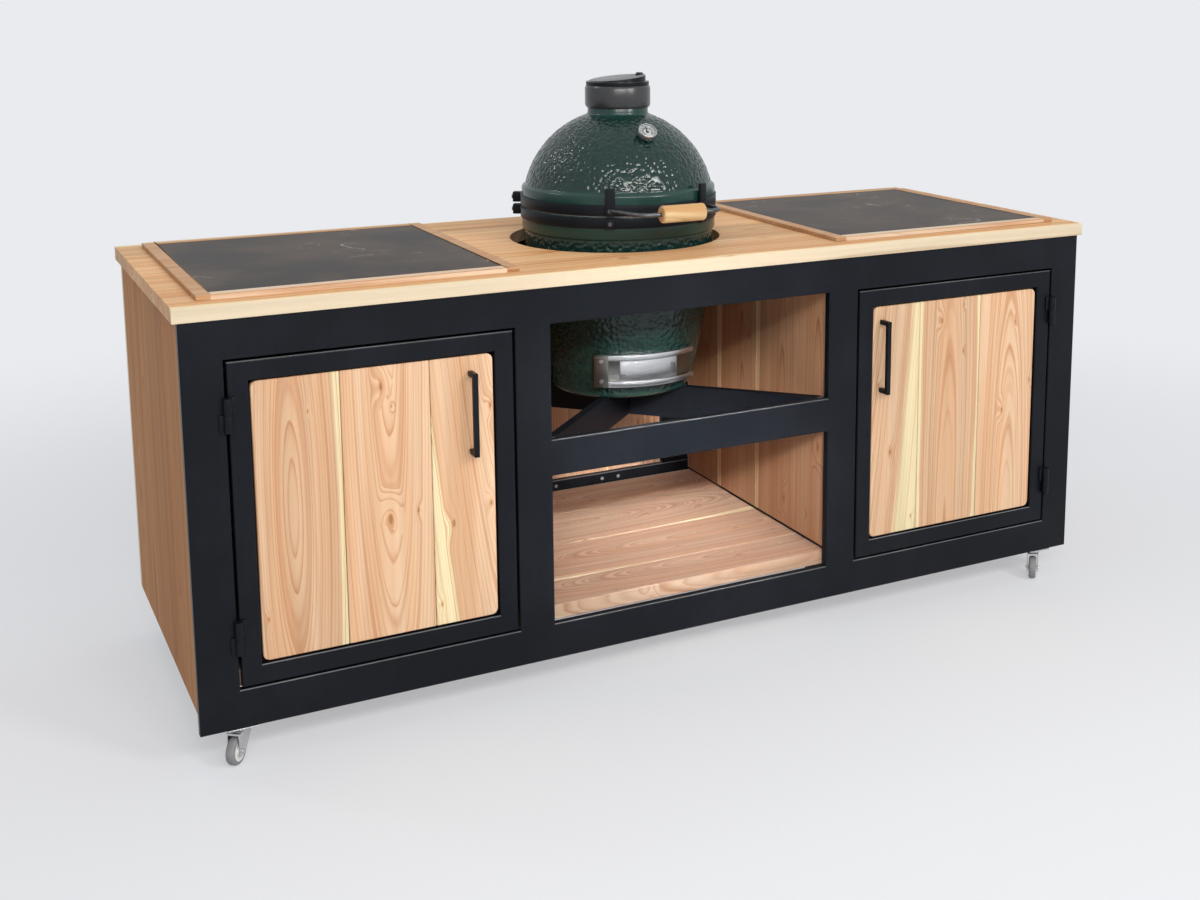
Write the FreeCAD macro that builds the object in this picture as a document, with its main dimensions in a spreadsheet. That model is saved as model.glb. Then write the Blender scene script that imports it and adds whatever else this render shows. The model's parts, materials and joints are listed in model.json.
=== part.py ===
import FreeCAD, Part
import math
import os
from types import SimpleNamespace

import Sketcher

# Outdoor kitchen on casters: a steel face frame with two inset doors, boarded with softwood, under a plank
# worktop with two stone slabs. A ceramic cooker stands on a steel cross in the middle bay and comes up
# through a round cut-out. Millimetres, +Z up, front towards -Y, origin under the middle of the part.

os.makedirs("parts", exist_ok=True)
doc = FreeCAD.newDocument("OutdoorKitchen")

SIZES = {
    # face frame and cabinet
    "frame_width": 2200,
    "frame_height": 830,
    "frame_depth": 765,
    "tube_face": 80,
    "tube_depth": 20,
    "bay_width": 700,
    "upper_bay_height": 254,
    "rail_size": 40,
    "wall_set_back": 5,
    "sole_height": 6,
    # boards
    "board_thickness": 20,
    "board_width": 184,
    "board_gap": 1,
    "side_board_lift": 40,
    "back_first_board": 111,
    "floor_thickness": 35,
    "inner_first_board": 127,
    "inner_board_width": 203,
    # worktop
    "worktop_thickness": 30,
    "worktop_depth": 780,
    "overhang_side": 10,
    "overhang_front": 5,
    "cutout_radius": 253,
    "cutout_offset": -20,
    # stone slabs and their borders
    "slab_width": 600,
    "slab_depth": 630,
    "slab_thickness": 9,
    "slab_clearance": 1,
    "border_width": 28,
    "border_height": 10,
    "border_inset_side": 44,
    "border_inset_front": 48,
    # doors
    "door_gap": 5,
    "door_tube": 40,
    "panel_gap": 3.5,
    "panel_recess": 5,
    "panel_corner": 14,
    "left_first_board": 173,
    "right_first_board": 172,
    "strap_width": 40,
    "strap_thickness": 4,
    "strap_inset": 110,
    "strap_screw_inset": 55,
    "screw_radius": 4.5,
    "screw_head": 2.5,
    # hinges and catches
    "hinge_radius": 8.5,
    "hinge_length": 68,
    "hinge_stand": 0.3,
    "hinge_low": 158,
    "hinge_high": 609,
    "hinge_pin_radius": 4,
    "hinge_play": 0.3,
    "pin_fit": 0.05,
    "leaf_width": 16,
    "leaf_thickness": 4,
    "catch_height": 40,
    "catch_depth": 12,
    "catch_lap": 25,
    "catch_play": 1,
    # pulls
    "pull_bar": 11,
    "pull_length": 178,
    "pull_reach": 30,
    "pull_low": 492,
    "left_pull_inset": 93,
    "right_pull_inset": 67,
    # back bar screws
    "back_screw_height": 128,
    "rear_bar_height": 63,
    "back_screw_inset": 24,
    # casters
    "caster_height": 78,
    "caster_inset_side": 82,
    "caster_inset_depth": 30,
    "caster_turn": -40,
    "caster_trail": 22,
    "caster_plate": 60,
    "caster_plate_thickness": 3,
    "raceway_radius": 19,
    "raceway_height": 7,
    "kingpin_radius": 5,
    "kingpin_head_radius": 9,
    "kingpin_head": 3.4,
    "fork_thickness": 3,
    "fork_top_thickness": 4,
    "fork_lip": 9,
    "running_gap": 0.3,
    "wheel_radius": 29,
    "wheel_width": 20,
    "wheel_side_gap": 1.5,
    "wheel_edge": 4,
    "axle_radius": 4,
    "axle_head": 3,
    # cooker cross
    "cross_width": 20,
    "cross_height": 80,
    # cooker base
    "cooker_offset": -10,
    "cooker_set_back": 386,
    "base_height": 440,
    "base_foot_radius": 167,
    "base_foot_edge": 8,
    "base_flank_radius": 1300,
    "base_shoulder_radius": 226,
    "collar_radius": 232,
    "collar_height": 54,
    "ceramic_wall": 26,
    "base_floor": 25,
    "base_floor_radius": 140,
    "base_inner_shoulder": 300,
    "gasket_thickness": 3,
    "gasket_inset": 3,
    # cooker inside
    "firebox_foot_radius": 118,
    "firebox_rim_radius": 184,
    "firebox_height": 230,
    "firebox_wall": 20,
    "firebox_floor": 22,
    "ash_hole_radius": 45,
    "air_slot_width": 80,
    "air_slot_height": 34,
    "grate_play": 6,
    "grate_thickness": 10,
    "grate_slot": 8,
    "fire_ring_height": 165,
    "grid_radius": 190,
    "grid_wire": 6,
    "grid_pitch": 24,
    # cooker lid
    "dome_radius": 230,
    "dome_wall": 24,
    "neck_radius": 72,
    "neck_bore": 50,
    "neck_height": 247,
    # bands, clamps and hinge of the cooker
    "band_height": 24,
    "band_thickness": 3,
    "band_play": 0.3,
    "band_edge": 1,
    "clamp_width": 22,
    "clamp_depth": 9,
    "clamp_angle": 29.5,
    "strap_height": 62,
    "rear_clamp_depth": 20,
    "rear_clamp_angle": 120,
    "lid_hinge_radius": 264,
    "lid_hinge_rise": 8,
    "lid_hinge_width": 95,
    "lid_hinge_barrel": 13,
    "lid_hinge_cheek": 12,
    "lid_pin_radius": 5,
    "lid_pin_head": 4,
    # handle
    "handle_reach": 337,
    "handle_rise": 21,
    "handle_foot_rise": 13,
    "handle_half_span": 100,
    "handle_bend": 34,
    "rod_radius": 5,
    "grip_radius": 19.5,
    "grip_length": 106,
    "grip_edge": 3,
    "grip_fit": 0.1,
    # thermometer
    "dial_elevation": 49.3,
    "dial_radius": 22,
    "dial_rim": 2,
    "dial_case_low": 238,
    "dial_case_high": 252,
    "dial_face": 247,
    "dial_collar_radius": 10,
    "dial_stem_radius": 4,
    "dial_stem_fit": 0.2,
    "dial_stem_length": 50,
    "needle_post_radius": 0.8,
    "needle_hub_radius": 2.2,
    "needle_length": 15,
    "needle_width": 2,
    "needle_thickness": 0.8,
    # vent cap
    "cap_radius": 78,
    "cap_skirt": 13,
    "cap_height": 39,
    "cap_wall": 8,
    "cap_plate": 6,
    "cap_flue_radius": 45,
    "cap_edge": 3,
    "vent_lid_radius": 75,
    "vent_lid_rim": 9,
    "vent_lid_edge": 1.5,
    "vent_lid_rise": 15,
    "vent_lid_top_radius": 67,
    "vent_pivot_offset": 58,
    "vent_pivot_radius": 4,
    "vent_boss_radius": 11,
    "vent_boss_height": 25,
    # draft door
    "draft_low": 36,
    "draft_height": 76,
    "draft_start": -42,
    "draft_sweep": 76,
    "draft_back_radius": 193,
    "draft_back_wall": 12,
    "draft_rail": 8,
    "draft_rail_depth": 12,
    "draft_lip": 2,
    "draft_lip_height": 5,
    "draft_end_sweep": 9.5,
    "draft_door_radius": 202,
    "draft_door_thickness": 2,
    "draft_door_start": -25,
    "draft_door_sweep": 42,
    "draft_door_play": 0.4,
    "draft_tab_width": 5,
    "draft_tab_depth": 10,
    "draft_tab_height": 24,
    "draft_window_width": 96,
    "draft_window_height": 46,
}

sheet = doc.addObject("Spreadsheet::Sheet", "Sizes")
for row, (alias, size) in enumerate(SIZES.items(), start=1):
    sheet.set(f"A{row}", alias)
    sheet.set(f"B{row}", str(size))
    sheet.setAlias(f"B{row}", alias)
doc.recompute()


class Measure:
    """A length with its spreadsheet expression, so that sums of sizes stay bound to the sheet."""

    def __init__(self, value, text):
        self.value = value
        self.text = text

    def __add__(self, other):
        other = measure(other)
        return Measure(self.value + other.value, f"({self.text} + {other.text})")

    def __sub__(self, other):
        other = measure(other)
        return Measure(self.value - other.value, f"({self.text} - {other.text})")

    def __mul__(self, other):
        other = measure(other)
        return Measure(self.value * other.value, f"({self.text} * {other.text})")

    def __truediv__(self, other):
        other = measure(other)
        return Measure(self.value / other.value, f"({self.text} / {other.text})")

    def __radd__(self, other):
        return measure(other) + self

    def __rsub__(self, other):
        return measure(other) - self

    def __rmul__(self, other):
        return measure(other) * self

    def __neg__(self):
        return Measure(-self.value, f"(-1 * {self.text})")


def measure(number):
    if isinstance(number, Measure):
        return number
    return Measure(number, f"({number})")


def root(square):
    return Measure(math.sqrt(square.value), f"sqrt({square.text})")


def between(one, other):
    """The low end and the length of the stretch between two places."""
    low, high = sorted((measure(one), measure(other)), key=lambda place: place.value)
    return low, high - low


def middle(centre, length):
    """The low end and the length of a stretch with its middle at a place."""
    return measure(centre) - measure(length) / 2, measure(length)


s = SimpleNamespace(**{alias: Measure(size, f"Sizes.{alias}") for alias, size in SIZES.items()})
nodes = []


def bind(thing, path, size):
    thing.setExpression(path, measure(size).text)


def move(thing, x, y, z):
    for axis, place in zip("xyz", (x, y, z)):
        bind(thing, f"Placement.Base.{axis}", place)
    return thing


def turn(thing, axis, angle):
    angle = measure(angle)
    thing.Placement = FreeCAD.Placement(FreeCAD.Vector(), FreeCAD.Rotation(axis, angle.value))
    bind(thing, "Placement.Rotation.Angle", angle)
    return thing


X_AXIS = FreeCAD.Vector(1, 0, 0)
Y_AXIS = FreeCAD.Vector(0, 1, 0)
Z_AXIS = FreeCAD.Vector(0, 0, 1)


def box(name, x, y, z):
    """A box from the low end and the length along each axis."""
    solid = doc.addObject("Part::Box", name)
    for side, (start, length) in zip(("Length", "Width", "Height"), (x, y, z)):
        bind(solid, side, length)
    return move(solid, x[0], y[0], z[0])


def cylinder(name, radius, height, x=0, y=0, z=0, along=Z_AXIS):
    """A cylinder that starts at a point and runs along an axis."""
    solid = doc.addObject("Part::Cylinder", name)
    bind(solid, "Radius", radius)
    bind(solid, "Height", height)
    solid.Placement = FreeCAD.Placement(FreeCAD.Vector(), FreeCAD.Rotation(Z_AXIS, along))
    return move(solid, x, y, z)


def cut(name, base, *tools):
    for count, tool in enumerate(tools):
        result = doc.addObject("Part::Cut", f"{name}{count}")
        result.Base = base
        result.Tool = tool
        base = result
    return base


def fuse(name, *pieces):
    result = doc.addObject("Part::MultiFuse", name)
    result.Shapes = list(pieces)
    return result


def common(name, one, other):
    result = doc.addObject("Part::MultiCommon", name)
    result.Shapes = [one, other]
    return result


def group(name, pieces):
    result = doc.addObject("Part::Compound", name)
    result.Links = list(pieces)
    return result


def node(label, thing):
    thing.Label = label
    nodes.append(thing)
    return thing


def arc_between(start, end, radius):
    """An arc of less than a half turn; a negative radius has its centre on the right of the way along it."""
    chord = end - start
    half = chord.Length / 2
    left = FreeCAD.Vector(-chord.y, chord.x, 0).normalize()
    rise = math.sqrt(radius * radius - half * half)
    centre = (start + end) / 2 + left * math.copysign(rise, radius)
    circle = Part.Circle(centre, Z_AXIS, abs(radius))
    first, last = (start, end) if radius > 0 else (end, start)
    angles = [math.atan2(point.y - centre.y, point.x - centre.x) for point in (first, last)]
    return Part.ArcOfCircle(circle, *angles)


def outlined_body(name, plane, points):
    """A body with a closed sketch; each corner is held by two dimensions, each arc by its radius as well."""
    body = doc.addObject("PartDesign::Body", name)
    sketch = body.newObject("Sketcher::SketchObject", f"{name}Sketch")
    support = next(part for part in body.Origin.OriginFeatures if part.Role == plane)
    sketch.AttachmentSupport = [(support, "")]
    sketch.MapMode = "FlatFace"
    points = [[measure(value) for value in point] for point in points]
    corners = [FreeCAD.Vector(point[0].value, point[1].value, 0) for point in points]
    starts = []
    for index, point in enumerate(points):
        ends = corners[index], corners[(index + 1) % len(corners)]
        clockwise = len(point) == 3 and point[2].value < 0
        edge = arc_between(*ends, point[2].value) if len(point) == 3 else Part.LineSegment(*ends)
        sketch.addGeometry(edge, False)
        starts.append(2 if clockwise else 1)
    for index, point in enumerate(points):
        following = (index + 1) % len(points)
        sketch.addConstraint(
            Sketcher.Constraint("Coincident", index, 3 - starts[index], following, starts[following])
        )
        for kind, axis, place in (("DistanceX", -2, point[0]), ("DistanceY", -1, point[1])):
            if place.value == 0:
                sketch.addConstraint(Sketcher.Constraint("PointOnObject", index, starts[index], axis))
                continue
            held = sketch.addConstraint(
                Sketcher.Constraint(kind, -1, 1, index, starts[index], place.value)
            )
            bind(sketch, f"Constraints[{held}]", place)
        if len(point) == 3:
            size = point[2] if point[2].value > 0 else -point[2]
            held = sketch.addConstraint(Sketcher.Constraint("Radius", index, size.value))
            bind(sketch, f"Constraints[{held}]", size)
    return body, sketch


def turned(name, points):
    """A solid of revolution about Z, from its half section as radius and height."""
    body, sketch = outlined_body(name, "XZ_Plane", points)
    spin = body.newObject("PartDesign::Revolution", f"{name}Turn")
    spin.Profile = sketch
    spin.ReferenceAxis = (sketch, ["V_Axis"])
    spin.Angle = 360
    return body


def plate(name, plane, points, thickness):
    """A flat piece from its outline: upright along X with its thickness towards +Y, or along Y towards +X."""
    body, sketch = outlined_body(name, plane, points)
    pad = body.newObject("PartDesign::Pad", f"{name}Pad")
    pad.Profile = sketch
    bind(pad, "Length", thickness)
    pad.Reversed = plane == "XZ_Plane"
    return body


def mitred_bar(name, length, width, depth):
    """A tube that lies along X with its outer edge below and both ends cut at 45 degrees."""
    outline = [(0, 0), (length, 0), (length - width, width), (width, width)]
    return plate(name, "XZ_Plane", outline, depth)


def mitred_frame(name, left, right, front, bottom, top, width, depth):
    """Bottom, top, left and right bar of an upright frame with mitred corners."""
    across = right - left
    upright = top - bottom
    places = (
        ("Bottom", across, 0, left, bottom),
        ("Top", across, 180, right, top),
        ("Left", upright, 90, left, top),
        ("Right", upright, -90, right, bottom),
    )
    bars = []
    for side, length, angle, x, z in places:
        bar = mitred_bar(name + side, length, width, depth)
        bar.Placement = FreeCAD.Placement(FreeCAD.Vector(), FreeCAD.Rotation(Y_AXIS, angle))
        bars.append(move(bar, x, front, z))
    return bars


def even_edges(start, length, count):
    return [start + length * index / count for index in range(count + 1)]


def board_edges(start, length, first, width):
    """Edges of a run of boards: one cut to a first width, whole boards, and what is left at the end."""
    whole = int((length.value - first.value) // width.value)
    inner = [start + first + width * index for index in range(whole + 1)]
    return [start] + [edge for edge in inner if edge.value < start.value + length.value] + [start + length]


def boards(name, edges, lay):
    """Boards side by side between the edges, with a gap at each joint."""
    run = []
    for index, (low, high) in enumerate(zip(edges, edges[1:])):
        low = low if index == 0 else low + s.board_gap / 2
        high = high if index == len(edges) - 2 else high - s.board_gap / 2
        run.append(lay(f"{name}{index}", between(low, high)))
    return run


# Places that the pieces share
left = -s.frame_width / 2
right = s.frame_width / 2
worktop_back = s.worktop_depth - s.overhang_front
front = (s.pull_reach - worktop_back) / 2
frame_back = front + s.frame_depth
behind_front = front + s.tube_depth
board_back = frame_back - s.board_thickness
rear_front = board_back - s.tube_depth
floor = s.caster_height
top = floor + s.frame_height
opening_low = floor + s.tube_face
opening_high = top - s.tube_face
bay_half = s.bay_width / 2
mullion_outer = bay_half + s.tube_face
cooker_floor = opening_high - s.upper_bay_height
bay_rail_low = cooker_floor - s.tube_face
wall_face = bay_half + s.wall_set_back
wall_back = wall_face + s.board_thickness
floor_top = opening_low + s.floor_thickness
top_rail_low = top - s.rail_size
inner_side = right - s.board_thickness
SIDES = (("Left", -1), ("Right", 1))

# Face frame: flat tube, mitred at the outer corners, with two mullions and a rail across the bay
bars = mitred_frame("Face", left, right, front, floor, top, s.tube_face, s.tube_depth)
node("front_bottom_rail", bars[0])
node("front_top_rail", bars[1])
node("front_stiles", group("FrontStiles", bars[2:]))
mullions = [
    box(
        f"Mullion{name}",
        between(side * bay_half, side * mullion_outer),
        (front, s.tube_depth),
        between(opening_low, opening_high),
    )
    for name, side in SIDES
]
node("front_mullions", group("FrontMullions", mullions))
front_mid_rail = box(
    "FrontMidRail", between(-bay_half, bay_half), (front, s.tube_depth), (bay_rail_low, s.tube_face)
)
node("front_mid_rail", front_mid_rail)

# Rear frame: corner posts down to the casters, rails between them, and two posts in the bay's corners
post_inner = inner_side - s.tube_face
rear_bar_top = opening_low + s.rear_bar_height
rear_tubes = [
    box(
        "RearBar",
        between(-post_inner, post_inner),
        (rear_front, s.tube_depth),
        (opening_low, s.rear_bar_height),
    ),
    box(
        "RearTop", between(-post_inner, post_inner), (rear_front, s.tube_depth), (opening_high, s.tube_face)
    ),
    box(
        "RearMid",
        between(s.tube_face - wall_face, wall_face - s.tube_face),
        (rear_front, s.tube_depth),
        (bay_rail_low, s.tube_face),
    ),
]
for name, side in SIDES:
    rear_tubes.append(
        box(
            f"RearPost{name}",
            between(side * post_inner, side * inner_side),
            (rear_front, s.tube_depth),
            between(floor, top),
        )
    )
    rear_tubes.append(
        box(
            f"BayPost{name}",
            between(side * (wall_face - s.tube_face), side * wall_face),
            (rear_front, s.tube_depth),
            between(rear_bar_top, opening_high),
        )
    )
node("rear_frame", group("RearFrame", rear_tubes))

# Rails from front to back under the worktop and under the floor, and a bar under each bay wall
rails = []
low_rail = opening_low - s.rail_size
for name, side in SIDES:
    outer = between(side * inner_side, side * (inner_side - s.rail_size))
    inner = between(side * wall_face, side * (wall_face + s.rail_size))
    to_posts = between(behind_front, rear_front)
    rails += [
        box(f"TopSideRail{name}", outer, to_posts, (top_rail_low, s.rail_size)),
        box(f"TopBayRail{name}", inner, to_posts, (top_rail_low, s.rail_size)),
        box(f"LowSideRail{name}", outer, to_posts, (low_rail, s.rail_size)),
        box(f"LowBayRail{name}", inner, between(behind_front, board_back), (low_rail, s.rail_size)),
        box(
            f"WallSole{name}",
            between(side * wall_face, side * wall_back),
            to_posts,
            (floor_top, s.sole_height),
        ),
    ]
node("depth_rails", group("DepthRails", rails))

# Cross of flat tube on edge, from corner to corner of the bay, which carries the cooker
bay_depth = rear_front - behind_front
bay_middle = behind_front + bay_depth / 2
cross_room = box(
    "CrossRoom",
    between(-bay_half, bay_half),
    between(behind_front, rear_front),
    (cooker_floor - s.cross_height, s.cross_height),
)
cross_reach = s.bay_width + bay_depth
cross_angle = Measure(
    math.degrees(math.atan2(bay_depth.value, s.bay_width.value)), f"atan2({bay_depth.text}; {s.bay_width.text})"
)


def cross_bar(name, angle):
    bar = box(
        f"{name}Long", middle(0, cross_reach), middle(0, s.cross_width), (measure(0), s.cross_height)
    )
    turned_bar = group(f"{name}Turned", [bar])
    turn(turned_bar, Z_AXIS, angle)
    move(turned_bar, 0, bay_middle, cooker_floor - s.cross_height)
    return common(name, turned_bar, cross_room)


long_bar = cross_bar("CrossLong", cross_angle)
short_bars = cut("CrossShort", cross_bar("CrossOther", -cross_angle), long_bar)
node("cooker_cross", group("CookerCross", [long_bar, short_bars]))

# Upright boards of the sides, the bay walls and the back, and lengthwise boards of the floor
for name, side in SIDES:
    side_boards = boards(
        f"{name}SideBoard",
        even_edges(behind_front, board_back - behind_front, 4),
        lambda label, y: box(
            label,
            between(side * inner_side, side * right),
            y,
            between(floor + s.side_board_lift, top),
        ),
    )
    node(f"{name.lower()}_side_boards", group(f"{name}SideBoards", side_boards))

inner_edges = board_edges(
    behind_front, rear_front - behind_front, s.inner_first_board, s.inner_board_width
)
wall_boards = []
for name, side in SIDES:
    wall_boards += boards(
        f"{name}WallBoard",
        inner_edges,
        lambda label, y: box(
            label,
            between(side * wall_face, side * wall_back),
            y,
            between(floor_top + s.sole_height, top_rail_low),
        ),
    )
node("bay_wall_boards", group("BayWallBoards", wall_boards))

back_edges = board_edges(left, s.frame_width, s.back_first_board, s.board_width)
back_boards = boards(
    "BackBoard",
    back_edges,
    lambda label, x: box(
        label, x, (board_back, s.board_thickness), between(floor + s.side_board_lift, top)
    ),
)
node("back_boards", group("BackBoards", back_boards))

floor_boards = []
for name, start, end in (
    ("Left", -inner_side, -wall_back - s.board_gap),
    ("Bay", -wall_back, wall_back),
    ("Right", wall_back + s.board_gap, inner_side),
):
    floor_boards += boards(
        f"{name}FloorBoard",
        inner_edges,
        lambda label, y: box(label, between(start, end), y, (opening_low, s.floor_thickness)),
    )
node("floor_boards", group("FloorBoards", floor_boards))

# Screws that hold the back boards to the black bar above the shelf, two to a board
back_screws = []
for index, edge in enumerate(back_edges[1:-1]):
    for name, side in SIDES:
        place = edge + side * s.back_screw_inset
        if abs(place.value) < wall_face.value - s.tube_face.value:
            screw = cylinder(
                f"BackScrew{name}{index}",
                s.screw_radius,
                s.screw_head,
                place,
                rear_front,
                floor + s.back_screw_height,
                along=-Y_AXIS,
            )
            back_screws.append(screw)
node("back_screws", group("BackScrews", back_screws))

# Worktop: four lengthwise planks with a round cut-out for the cooker
cooker_x = s.cooker_offset
cooker_y = front + s.cooker_set_back
cutout = cylinder("Cutout", s.cutout_radius, s.worktop_thickness, s.cutout_offset, cooker_y, top)
worktop_planks = boards(
    "WorktopPlank",
    even_edges(front - s.overhang_front, s.worktop_depth, 4),
    lambda label, y: cut(
        label,
        box(
            f"{label}Whole",
            between(left - s.overhang_side, right + s.overhang_side),
            y,
            (top, s.worktop_thickness),
        ),
        cutout,
    ),
)
node("worktop_planks", group("WorktopPlanks", worktop_planks))

# Stone slabs, each lying in a border of four strips; the side strips run through to the front
worktop_top = top + s.worktop_thickness
border_strips = []
for name, side in SIDES:
    outer = side * (right - s.border_inset_side)
    slab_outer = outer - side * (s.border_width + s.slab_clearance)
    slab_inner = slab_outer - side * s.slab_width
    inner = slab_inner - side * (s.border_width + s.slab_clearance)
    border_front = front + s.border_inset_front
    slab_front = border_front + s.border_width + s.slab_clearance
    slab_back = slab_front + s.slab_depth
    border_back = slab_back + s.slab_clearance + s.border_width
    slab = box(
        f"{name}Slab",
        between(slab_inner, slab_outer),
        between(slab_front, slab_back),
        (worktop_top, s.slab_thickness),
    )
    node(f"{name.lower()}_slab", slab)
    strip_inner = outer - side * s.border_width
    strip_other = inner + side * s.border_width
    full_depth = between(border_front, border_back)
    height = (worktop_top, s.border_height)
    border_strips += [
        box(f"{name}StripOuter", between(outer, strip_inner), full_depth, height),
        box(f"{name}StripInner", between(inner, strip_other), full_depth, height),
        box(f"{name}StripFront", between(strip_other, strip_inner), (border_front, s.border_width), height),
        box(
            f"{name}StripBack",
            between(strip_other, strip_inner),
            (slab_back + s.slab_clearance, s.border_width),
            height,
        ),
    ]
node("slab_borders", group("SlabBorders", border_strips))

# Doors: a mitred tube frame with three upright boards held by straps behind, a bar pull and two hinges
door_low = opening_low + s.door_gap
door_high = opening_high - s.door_gap
board_front = front + s.panel_recess
panel_low = door_low + s.door_tube + s.panel_gap
panel_high = door_high - s.door_tube - s.panel_gap
hinge_y = front - s.hinge_stand - s.hinge_radius
half_hinge = (s.hinge_length - s.hinge_play) / 2
hinge_heights = (floor + s.hinge_low, floor + s.hinge_high)
fixed_hinges = []
catches = []


def round_cornered_panel(name, x, y, z, radius):
    """A panel whose four upright corners, seen from the front, are rounded."""
    panel = box(f"{name}Square", x, y, z)
    doc.recompute()
    rounded = doc.addObject("Part::Fillet", name)
    rounded.Base = panel
    rounded.Edges = [
        (index, radius.value, radius.value)
        for index, edge in enumerate(panel.Shape.Edges, start=1)
        if abs(edge.tangentAt(edge.FirstParameter).y) > 0.5
    ]
    return rounded


def hinge_half(name, side, hinge_x, low, leaf_side):
    """Half of a weld-on barrel hinge: a sleeve and a leaf on one side of the gap."""
    barrel = cylinder(f"{name}Barrel", s.hinge_radius, half_hinge, hinge_x, hinge_y, low)
    leaf = box(
        f"{name}Leaf",
        between(hinge_x + leaf_side * s.door_gap / 4, hinge_x + leaf_side * s.leaf_width),
        (front - s.leaf_thickness, s.leaf_thickness),
        (low, half_hinge),
    )
    return fuse(name, barrel, leaf)


def pull(name, x):
    """A square bar bent to a U, standing on the door boards."""
    bar_x = middle(x, s.pull_bar)
    bar_low = floor + s.pull_low
    bar_back = front - s.pull_reach + s.pull_bar
    bar = box(f"{name}Bar", bar_x, (front - s.pull_reach, s.pull_bar), (bar_low, s.pull_length))
    feet = [
        box(f"{name}Foot{index}", bar_x, between(bar_back, board_front), (low, s.pull_bar))
        for index, low in enumerate((bar_low, bar_low + s.pull_length - s.pull_bar))
    ]
    return fuse(name, bar, *feet)


for name, side, first_board, pull_inset in (
    ("Left", -1, s.left_first_board, s.left_pull_inset),
    ("Right", 1, s.right_first_board, s.right_pull_inset),
):
    label = name.lower()
    hinge_edge = side * (right - s.tube_face - s.door_gap)
    free_edge = side * (mullion_outer + s.door_gap)
    door_left, door_width = between(hinge_edge, free_edge)
    door_right = door_left + door_width
    frame_bars = mitred_frame(
        f"{name}Door", door_left, door_right, front, door_low, door_high, s.door_tube, s.tube_depth
    )
    node(f"{label}_door_frame", group(f"{name}DoorFrame", frame_bars))

    panel_hinge = hinge_edge - side * (s.door_tube + s.panel_gap)
    panel_free = free_edge + side * (s.door_tube + s.panel_gap)
    board_depth = between(board_front, behind_front)
    panel = round_cornered_panel(
        f"{name}Panel", between(panel_hinge, panel_free), board_depth, between(panel_low, panel_high), s.panel_corner
    )
    first_joint = panel_hinge - side * first_board
    second_joint = first_joint - side * s.board_width
    joints = sorted((panel_hinge, first_joint, second_joint, panel_free), key=lambda place: place.value)
    door_boards = boards(
        f"{name}DoorBoard",
        joints,
        lambda board, x: common(
            board, panel, box(f"{board}Cut", x, board_depth, between(panel_low, panel_high))
        ),
    )
    node(f"{label}_door_boards", group(f"{name}DoorBoards", door_boards))
    node(f"{label}_door_pull", pull(f"{name}Pull", free_edge + side * pull_inset))

    straps = []
    for index, low in enumerate((door_low + s.strap_inset, door_high - s.strap_inset - s.strap_width)):
        straps.append(
            box(
                f"{name}Strap{index}",
                between(door_left + s.door_gap, door_right - s.door_gap),
                (behind_front, s.strap_thickness),
                (low, s.strap_width),
            )
        )
        for count, place in enumerate(
            even_edges(door_left + s.strap_screw_inset, door_width - s.strap_screw_inset * 2, 3)
        ):
            straps.append(
                cylinder(
                    f"{name}StrapScrew{index}{count}",
                    s.screw_radius,
                    s.screw_head,
                    place,
                    behind_front + s.strap_thickness,
                    low + s.strap_width / 2,
                    along=Y_AXIS,
                )
            )
    node(f"{label}_door_straps", group(f"{name}DoorStraps", straps))

    hinge_x = hinge_edge + side * s.door_gap / 2
    sleeves = []
    for index, low in enumerate(hinge_heights):
        fixed = hinge_half(f"{name}Fixed{index}", side, hinge_x, low, side)
        pin = cylinder(
            f"{name}Pin{index}", s.hinge_pin_radius, s.hinge_length, hinge_x, hinge_y, low
        )
        fixed_hinges.append(fuse(f"{name}FixedHinge{index}", fixed, pin))
        sleeve = hinge_half(f"{name}Sleeve{index}", side, hinge_x, low + half_hinge + s.hinge_play, -side)
        bore = cylinder(
            f"{name}SleeveBore{index}", s.hinge_pin_radius + s.pin_fit, s.hinge_length, hinge_x, hinge_y, low
        )
        sleeves.append(cut(f"{name}DoorSleeve{index}", sleeve, bore))
    node(f"{label}_door_hinges", group(f"{name}DoorHinges", sleeves))

    catch_low = floor + (s.frame_height - s.catch_height) / 2
    catch_room = (catch_low, s.catch_height)
    mullion_edge = side * mullion_outer
    keeper = box(
        f"{name}Keeper",
        between(mullion_edge, mullion_edge - side * s.catch_lap),
        (behind_front, s.catch_depth),
        catch_room,
    )
    tongue = box(
        f"{name}Tongue",
        between(mullion_edge - side * s.catch_lap, mullion_edge + side * s.catch_lap),
        between(behind_front + s.catch_play, behind_front + s.catch_depth),
        catch_room,
    )
    catches.append(fuse(f"{name}Catch", keeper, tongue))
node("hinge_barrels", group("HingeBarrels", fixed_hinges))
node("door_catches", group("DoorCatches", catches))

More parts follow.
